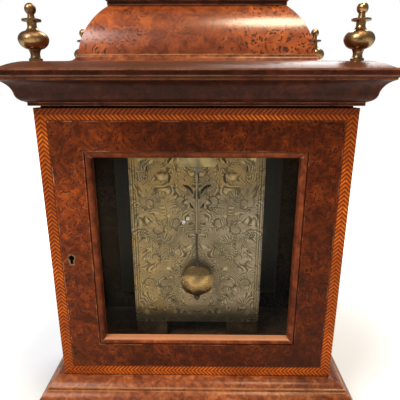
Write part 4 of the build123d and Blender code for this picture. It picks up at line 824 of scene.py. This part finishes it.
border_path = draw_lines("border path", [rectangle(3.0)])
border = grow(border_path, make_border_tree(), "plate_border", **{"Finish": cut_line})
frame_lines = engrave("plate_frame_lines", [rectangle(0.9), rectangle(5.2)], 0.22 * MM, cut_line)
for piece in (scrolls, leaves, glints, border, frame_lines):
    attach(piece, "case")

# %% [markdown]
# ## Dial marks
# Roman hours stand on the chapter ring with their feet to the middle. They are drawn
# with the engraver's stroke tree, in thick and thin lines as a pen would write them. A
# font would be quicker, but it wouldn't be as bold as the hand of an old dial painter.
# One small bar, instanced on a circle of sixty points, makes the minute marks.

# %% Roman hours
dial_low, dial_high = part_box("chapter_ring")
DIAL_Z, DIAL_Y, DIAL_RADIUS = (dial_low.z + dial_high.z) / 2, dial_low.y, (dial_high.x - dial_low.x) / 2
HOUR_TALL, HOUR_FOOT = 13.0 * MM, DIAL_RADIUS - 21.0 * MM
THICK, THIN = 1.0, 0.62
SQUEEZE = 0.8  # letters are a little narrower than they are drawn below
LETTERS = {  # width, then strokes from point to point with their weight
    "I": (0.34, [((0.0, 0), (0.0, 1), THICK), ((-0.13, 0), (0.13, 0), THIN), ((-0.13, 1), (0.13, 1), THIN)]),
    "V": (0.62, [((-0.24, 1), (0.0, 0), THICK), ((0.0, 0), (0.24, 1), THIN),
                 ((-0.34, 1), (-0.14, 1), THIN), ((0.14, 1), (0.34, 1), THIN)]),
    "X": (0.66, [((-0.26, 1), (0.26, 0), THICK), ((-0.26, 0), (0.26, 1), THIN),
                 ((-0.36, 1), (-0.16, 1), THIN), ((0.16, 0), (0.36, 0), THIN)]),
}
HOURS = ["XII", "I", "II", "III", "IIII", "V", "VI", "VII", "VIII", "IX", "X", "XI"]


def hour_lines(word, turn):
    """The strokes of one hour, turned clockwise about the dial's middle."""
    lines, across = [], -sum(LETTERS[letter][0] for letter in word) / 2
    for letter in word:
        width, strokes = LETTERS[letter]
        for first, second, weight in strokes:
            line = []
            for x, z in (first, second):
                side, out = (across + width / 2 + x) * HOUR_TALL * SQUEEZE, HOUR_FOOT + z * HOUR_TALL
                place_x = side * math.cos(turn) + out * math.sin(turn)
                place_z = DIAL_Z + out * math.cos(turn) - side * math.sin(turn)
                line.append((place_x, DIAL_Y, place_z, weight))
            lines.append(line)
        across += width
    return lines


hours = [line for k, word in enumerate(HOURS) for line in hour_lines(word, math.radians(30 * k))]
numerals = engrave("dial_hours", hours, 0.62 * MM, cut_line)

# %% Minute marks


def make_marks_tree():
    tree, given, result = start_geometry(
        "Marks in a ring",
        [("Count", "NodeSocketInt", 60), ("Radius", FLOAT, 0.07), ("Finish", FINISH, None)],
    )
    points = add_node(tree, "GeometryNodeMeshCircle", {"Vertices": given["Count"], "Radius": given["Radius"]})
    outward = add_node(tree, "GeometryNodeInputPosition").outputs[0]
    turn = add_node(tree, "FunctionNodeAlignRotationToVector", {"Vector": outward}, axis="Y").outputs[0]
    places = {"Points": points.outputs[0], "Instance": given["Geometry"], "Rotation": turn}
    marks = add_node(tree, "GeometryNodeInstanceOnPoints", places).outputs[0]
    upright = {"Translation": (0.0, DIAL_Y, DIAL_Z), "Rotation": (math.pi / 2, 0.0, 0.0)}
    laid = add_node(tree, "GeometryNodeTransform", {"Geometry": marks, **upright})
    end_geometry(tree, laid.outputs[0], result, given["Finish"])
    return tree


def small_box(name, wide, tall, deep):
    mesh = bpy.data.meshes.new(name)
    corners = [(x * wide / 2, y * tall / 2, z * deep / 2) for x in (-1, 1) for y in (-1, 1) for z in (-1, 1)]
    sides = [(0, 1, 3, 2), (4, 6, 7, 5), (0, 4, 5, 1), (2, 3, 7, 6), (0, 2, 6, 4), (1, 5, 7, 3)]
    mesh.from_pydata(corners, [], sides)
    box = bpy.data.objects.new(name, mesh)
    scene.collection.objects.link(box)
    return box


minute_bar = small_box("minute bar", 0.75 * MM, 2.6 * MM, 0.3 * MM)
MINUTES = {"Count": 60, "Radius": DIAL_RADIUS - 3.2 * MM, "Finish": cut_line}
minutes = grow(minute_bar, make_marks_tree(), "dial_minutes", **MINUTES)
for piece in (numerals, minutes):
    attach(piece, "case")

# %% [markdown]
# ## Screws in the back plate
# Three slotted heads show on the plate, a large one high up and two small ones. Each
# head is a cylinder with a bar taken out of it, turned to face the back door. Boolean
# cuts can fail on open meshes, but both of these shapes are closed.

# %% The screw tree
HEAD_DEEP = 0.8 * MM
SLOT_BAR = (9.0 * MM, 0.6 * MM, 0.7 * MM)


def make_screw_tree():
    tree, given, result = start_geometry(
        "Screw heads", [("Head", FLOAT, 2.0 * MM), ("Slot turn", FLOAT, 0.5), ("Finish", FINISH, None)],
    )
    round_head = {"Vertices": 24, "Radius": given["Head"], "Depth": HEAD_DEEP}
    head = add_node(tree, "GeometryNodeMeshCylinder", round_head).outputs[0]
    bar = add_node(tree, "GeometryNodeMeshCube", {"Size": SLOT_BAR}).outputs[0]
    lifted = {"Geometry": bar, "Translation": (0.0, 0.0, 0.4 * MM)}
    raised = add_node(tree, "GeometryNodeTransform", lifted).outputs[0]
    cut = add_node(tree, "GeometryNodeMeshBoolean", {0: head, 1: raised}, operation="DIFFERENCE").outputs[0]
    turn = {"Rotation": (-math.pi / 2, 0.0, 0.0), "Axis": (0.0, 1.0, 0.0), "Angle": given["Slot turn"]}
    facing = add_node(tree, "FunctionNodeRotateEuler", turn, rotation_type="AXIS_ANGLE").outputs[0]
    places = {"Points": given["Geometry"], "Instance": cut, "Rotation": facing}
    heads = add_node(tree, "GeometryNodeInstanceOnPoints", places).outputs[0]
    end_geometry(tree, heads, result, given["Finish"])
    return tree


# %% Place the screws


def screws_at(name, spots, head, turn):
    mesh = bpy.data.meshes.new(name)
    mesh.from_pydata([on_plate(x, z, 1)[:3] for x, z in spots], [], [])
    points = bpy.data.objects.new("screw points", mesh)
    scene.collection.objects.link(points)
    piece = grow(points, make_screw_tree(), name, **{"Head": head, "Slot turn": turn, "Finish": steel})
    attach(piece, "case")


screws_at("plate_large_screw", [(0.2, 152.5)], 2.6 * MM, 1.1)
screws_at("plate_small_screws", [(-12.2, 104.0), (-8.2, 107.5)], 1.6 * MM, 0.3)

# %% [markdown]
# ## Metals of two shades
# The dial plate is bright in front and nearly black behind, and the pendulum's wire has
# been polished near its top only. Each is one piece of the CAD model, so its material
# looks at depth or height and turns dark past a line.

# %% Two-shade metals


def darken(material, axis, start, end, colour):
    """Mixes a dull dark colour over a metal, between two places on one axis."""
    tree = material.node_tree
    shader = tree.nodes["Principled BSDF"]
    place = add_node(tree, "ShaderNodeTexCoord").outputs["Object"]
    dark = ramp_between(tree, add_node(tree, "ShaderNodeSeparateXYZ", {0: place}).outputs[axis], start, end)
    plain = shader.inputs["Base Color"].links[0].from_socket
    tree.links.new(blend_colour(tree, dark, plain, (*colour, 1)), shader.inputs["Base Color"])
    tree.links.new(calc(tree, "SUBTRACT", 1.0, calc(tree, "MULTIPLY", dark, 0.85)), shader.inputs["Metallic"])


bob_low, bob_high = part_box("pendulum_bob")
wire_top = (bob_low.z + bob_high.z) / 2 + 47 * MM
darken(rod_wire, "Z", wire_top + 1.0 * MM, wire_top - 1.0 * MM, (0.07, 0.05, 0.03))
dial_sheet = aged_metal("Dial sheet", (0.46, 0.32, 0.13), (0.38, 0.26, 0.11), rough=(0.3, 0.45), worn=0.0)
dial_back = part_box("dial_plate")[0].y + 1.0 * MM
darken(dial_sheet, "Y", dial_back, dial_back + 0.3 * MM, (0.042, 0.034, 0.018))
set_finish(clock["dial_plate"], dial_sheet)
print("the wire turns dark at height, mm:", round(wire_top / MM, 1))

# %% [markdown]
# ## Light, floor and camera
# A large soft lamp stands to the left of the camera, a small warm one hangs overhead on
# the right and puts the gold light on the bell, and one lights the dial's side. The world
# fills the shadows. The floor glows white to the camera away from the clock, and near it
# keeps the clock's soft shadow.

# %% Soft light
scene.view_settings.view_transform = "Standard"
AIM_HEIGHT = 0.24


def soft_lamp(name, place, size, power, colour=(1, 1, 1)):
    data = bpy.data.lights.new(name, "AREA")
    data.shape, data.size, data.energy, data.color = "DISK", size, power, colour
    lamp = bpy.data.objects.new(name, data)
    scene.collection.objects.link(lamp)
    lamp.location = place
    aim = lamp.location.copy()
    aim.z -= AIM_HEIGHT
    lamp.rotation_euler = aim.to_track_quat("Z", "Y").to_euler()
    print(name, "watts:", power)


soft_lamp("Key lamp", (0.75, 0.9, 1.4), 0.7, 23.0, (0.97, 0.98, 1.0))
soft_lamp("Top lamp", (-0.26, 0.42, 1.6), 0.36, 13.0, (1.0, 0.84, 0.6))
soft_lamp("Front lamp", (-0.4, -1.0, 1.4), 0.9, 17.0)

world = bpy.data.worlds.new("Studio")
scene.world = world
world.use_nodes = True
sky = world.node_tree
background = sky.nodes["Background"]
IN_GLOSS, FILL = 0.24, 0.38  # how bright the white world is in reflections, and as fill light
rays = add_node(sky, "ShaderNodeLightPath").outputs
seen = calc(sky, "MAXIMUM", rays["Is Camera Ray"], rays["Is Transmission Ray"])
seen_or_glossy = calc(sky, "MAXIMUM", seen, calc(sky, "MULTIPLY", rays["Is Glossy Ray"], IN_GLOSS))
background.inputs["Color"].default_value = (1, 1, 1, 1)
filling = calc(sky, "MULTIPLY", rays["Is Diffuse Ray"], FILL)
sky.links.new(calc(sky, "MAXIMUM", seen_or_glossy, filling), background.inputs["Strength"])

# %% White floor
REACH = 6.0
GLOW_GROWS = (0.2, 0.5)  # metres from the clock's middle


def make_floor():
    material, tree, shader = start_material("White floor")
    shader.inputs["Base Color"].default_value = (0.75, 0.75, 0.75, 1)
    shader.inputs["Roughness"].default_value = 0.9
    shader.inputs["Specular IOR Level"].default_value = 0.0
    rays = add_node(tree, "ShaderNodeLightPath").outputs
    place = add_node(tree, "ShaderNodeTexCoord").outputs["Object"]
    away = add_node(tree, "ShaderNodeVectorMath", {0: place}, operation="LENGTH").outputs["Value"]
    glow = calc(tree, "ADD", ramp_between(tree, away, *GLOW_GROWS), 0.02)
    lift = calc(tree, "MULTIPLY", rays["Is Camera Ray"], glow)
    grey = add_node(tree, "ShaderNodeCombineColor", {0: lift, 1: lift, 2: lift}).outputs[0]
    tree.links.new(grey, shader.inputs["Emission Color"])
    shader.inputs["Emission Strength"].default_value = 1.0
    mesh = bpy.data.meshes.new("Floor")
    corners = [(-REACH, -REACH, 0), (REACH, -REACH, 0), (REACH, REACH, 0), (-REACH, REACH, 0)]
    mesh.from_pydata(corners, [], [(0, 1, 2, 3)])
    mesh.materials.append(material)
    floor = bpy.data.objects.new("Floor", mesh)
    scene.collection.objects.link(floor)
    return floor


make_floor()
print("floor, metres across:", 2 * REACH)

# %% [markdown]
# The camera stands where the photograph was taken from: a little above the door's top, a
# third of a metre from the glass, looking down. The lens is shifted up, because the
# picture's middle isn't where the lens pointed.

# %% Camera
PICTURE = 400  # pixels on a side
LOOK_DOWN, LOOK_ASIDE = 0.32675, 0.01335  # radians
camera_data = bpy.data.cameras.new("Camera")
camera_data.sensor_width = 36.0
camera_data.lens = 37.99
camera_data.shift_y = 33.14 / PICTURE
camera_data.clip_start = 0.01
camera = bpy.data.objects.new("Camera", camera_data)
scene.collection.objects.link(camera)
camera.location = (-7.76 * MM, 410.39 * MM, 305.32 * MM)
camera.rotation_euler = (math.pi / 2 - LOOK_DOWN, 0.0, math.pi + LOOK_ASIDE)
scene.camera = camera
print("camera looks down, degrees:", round(math.degrees(LOOK_DOWN), 1))
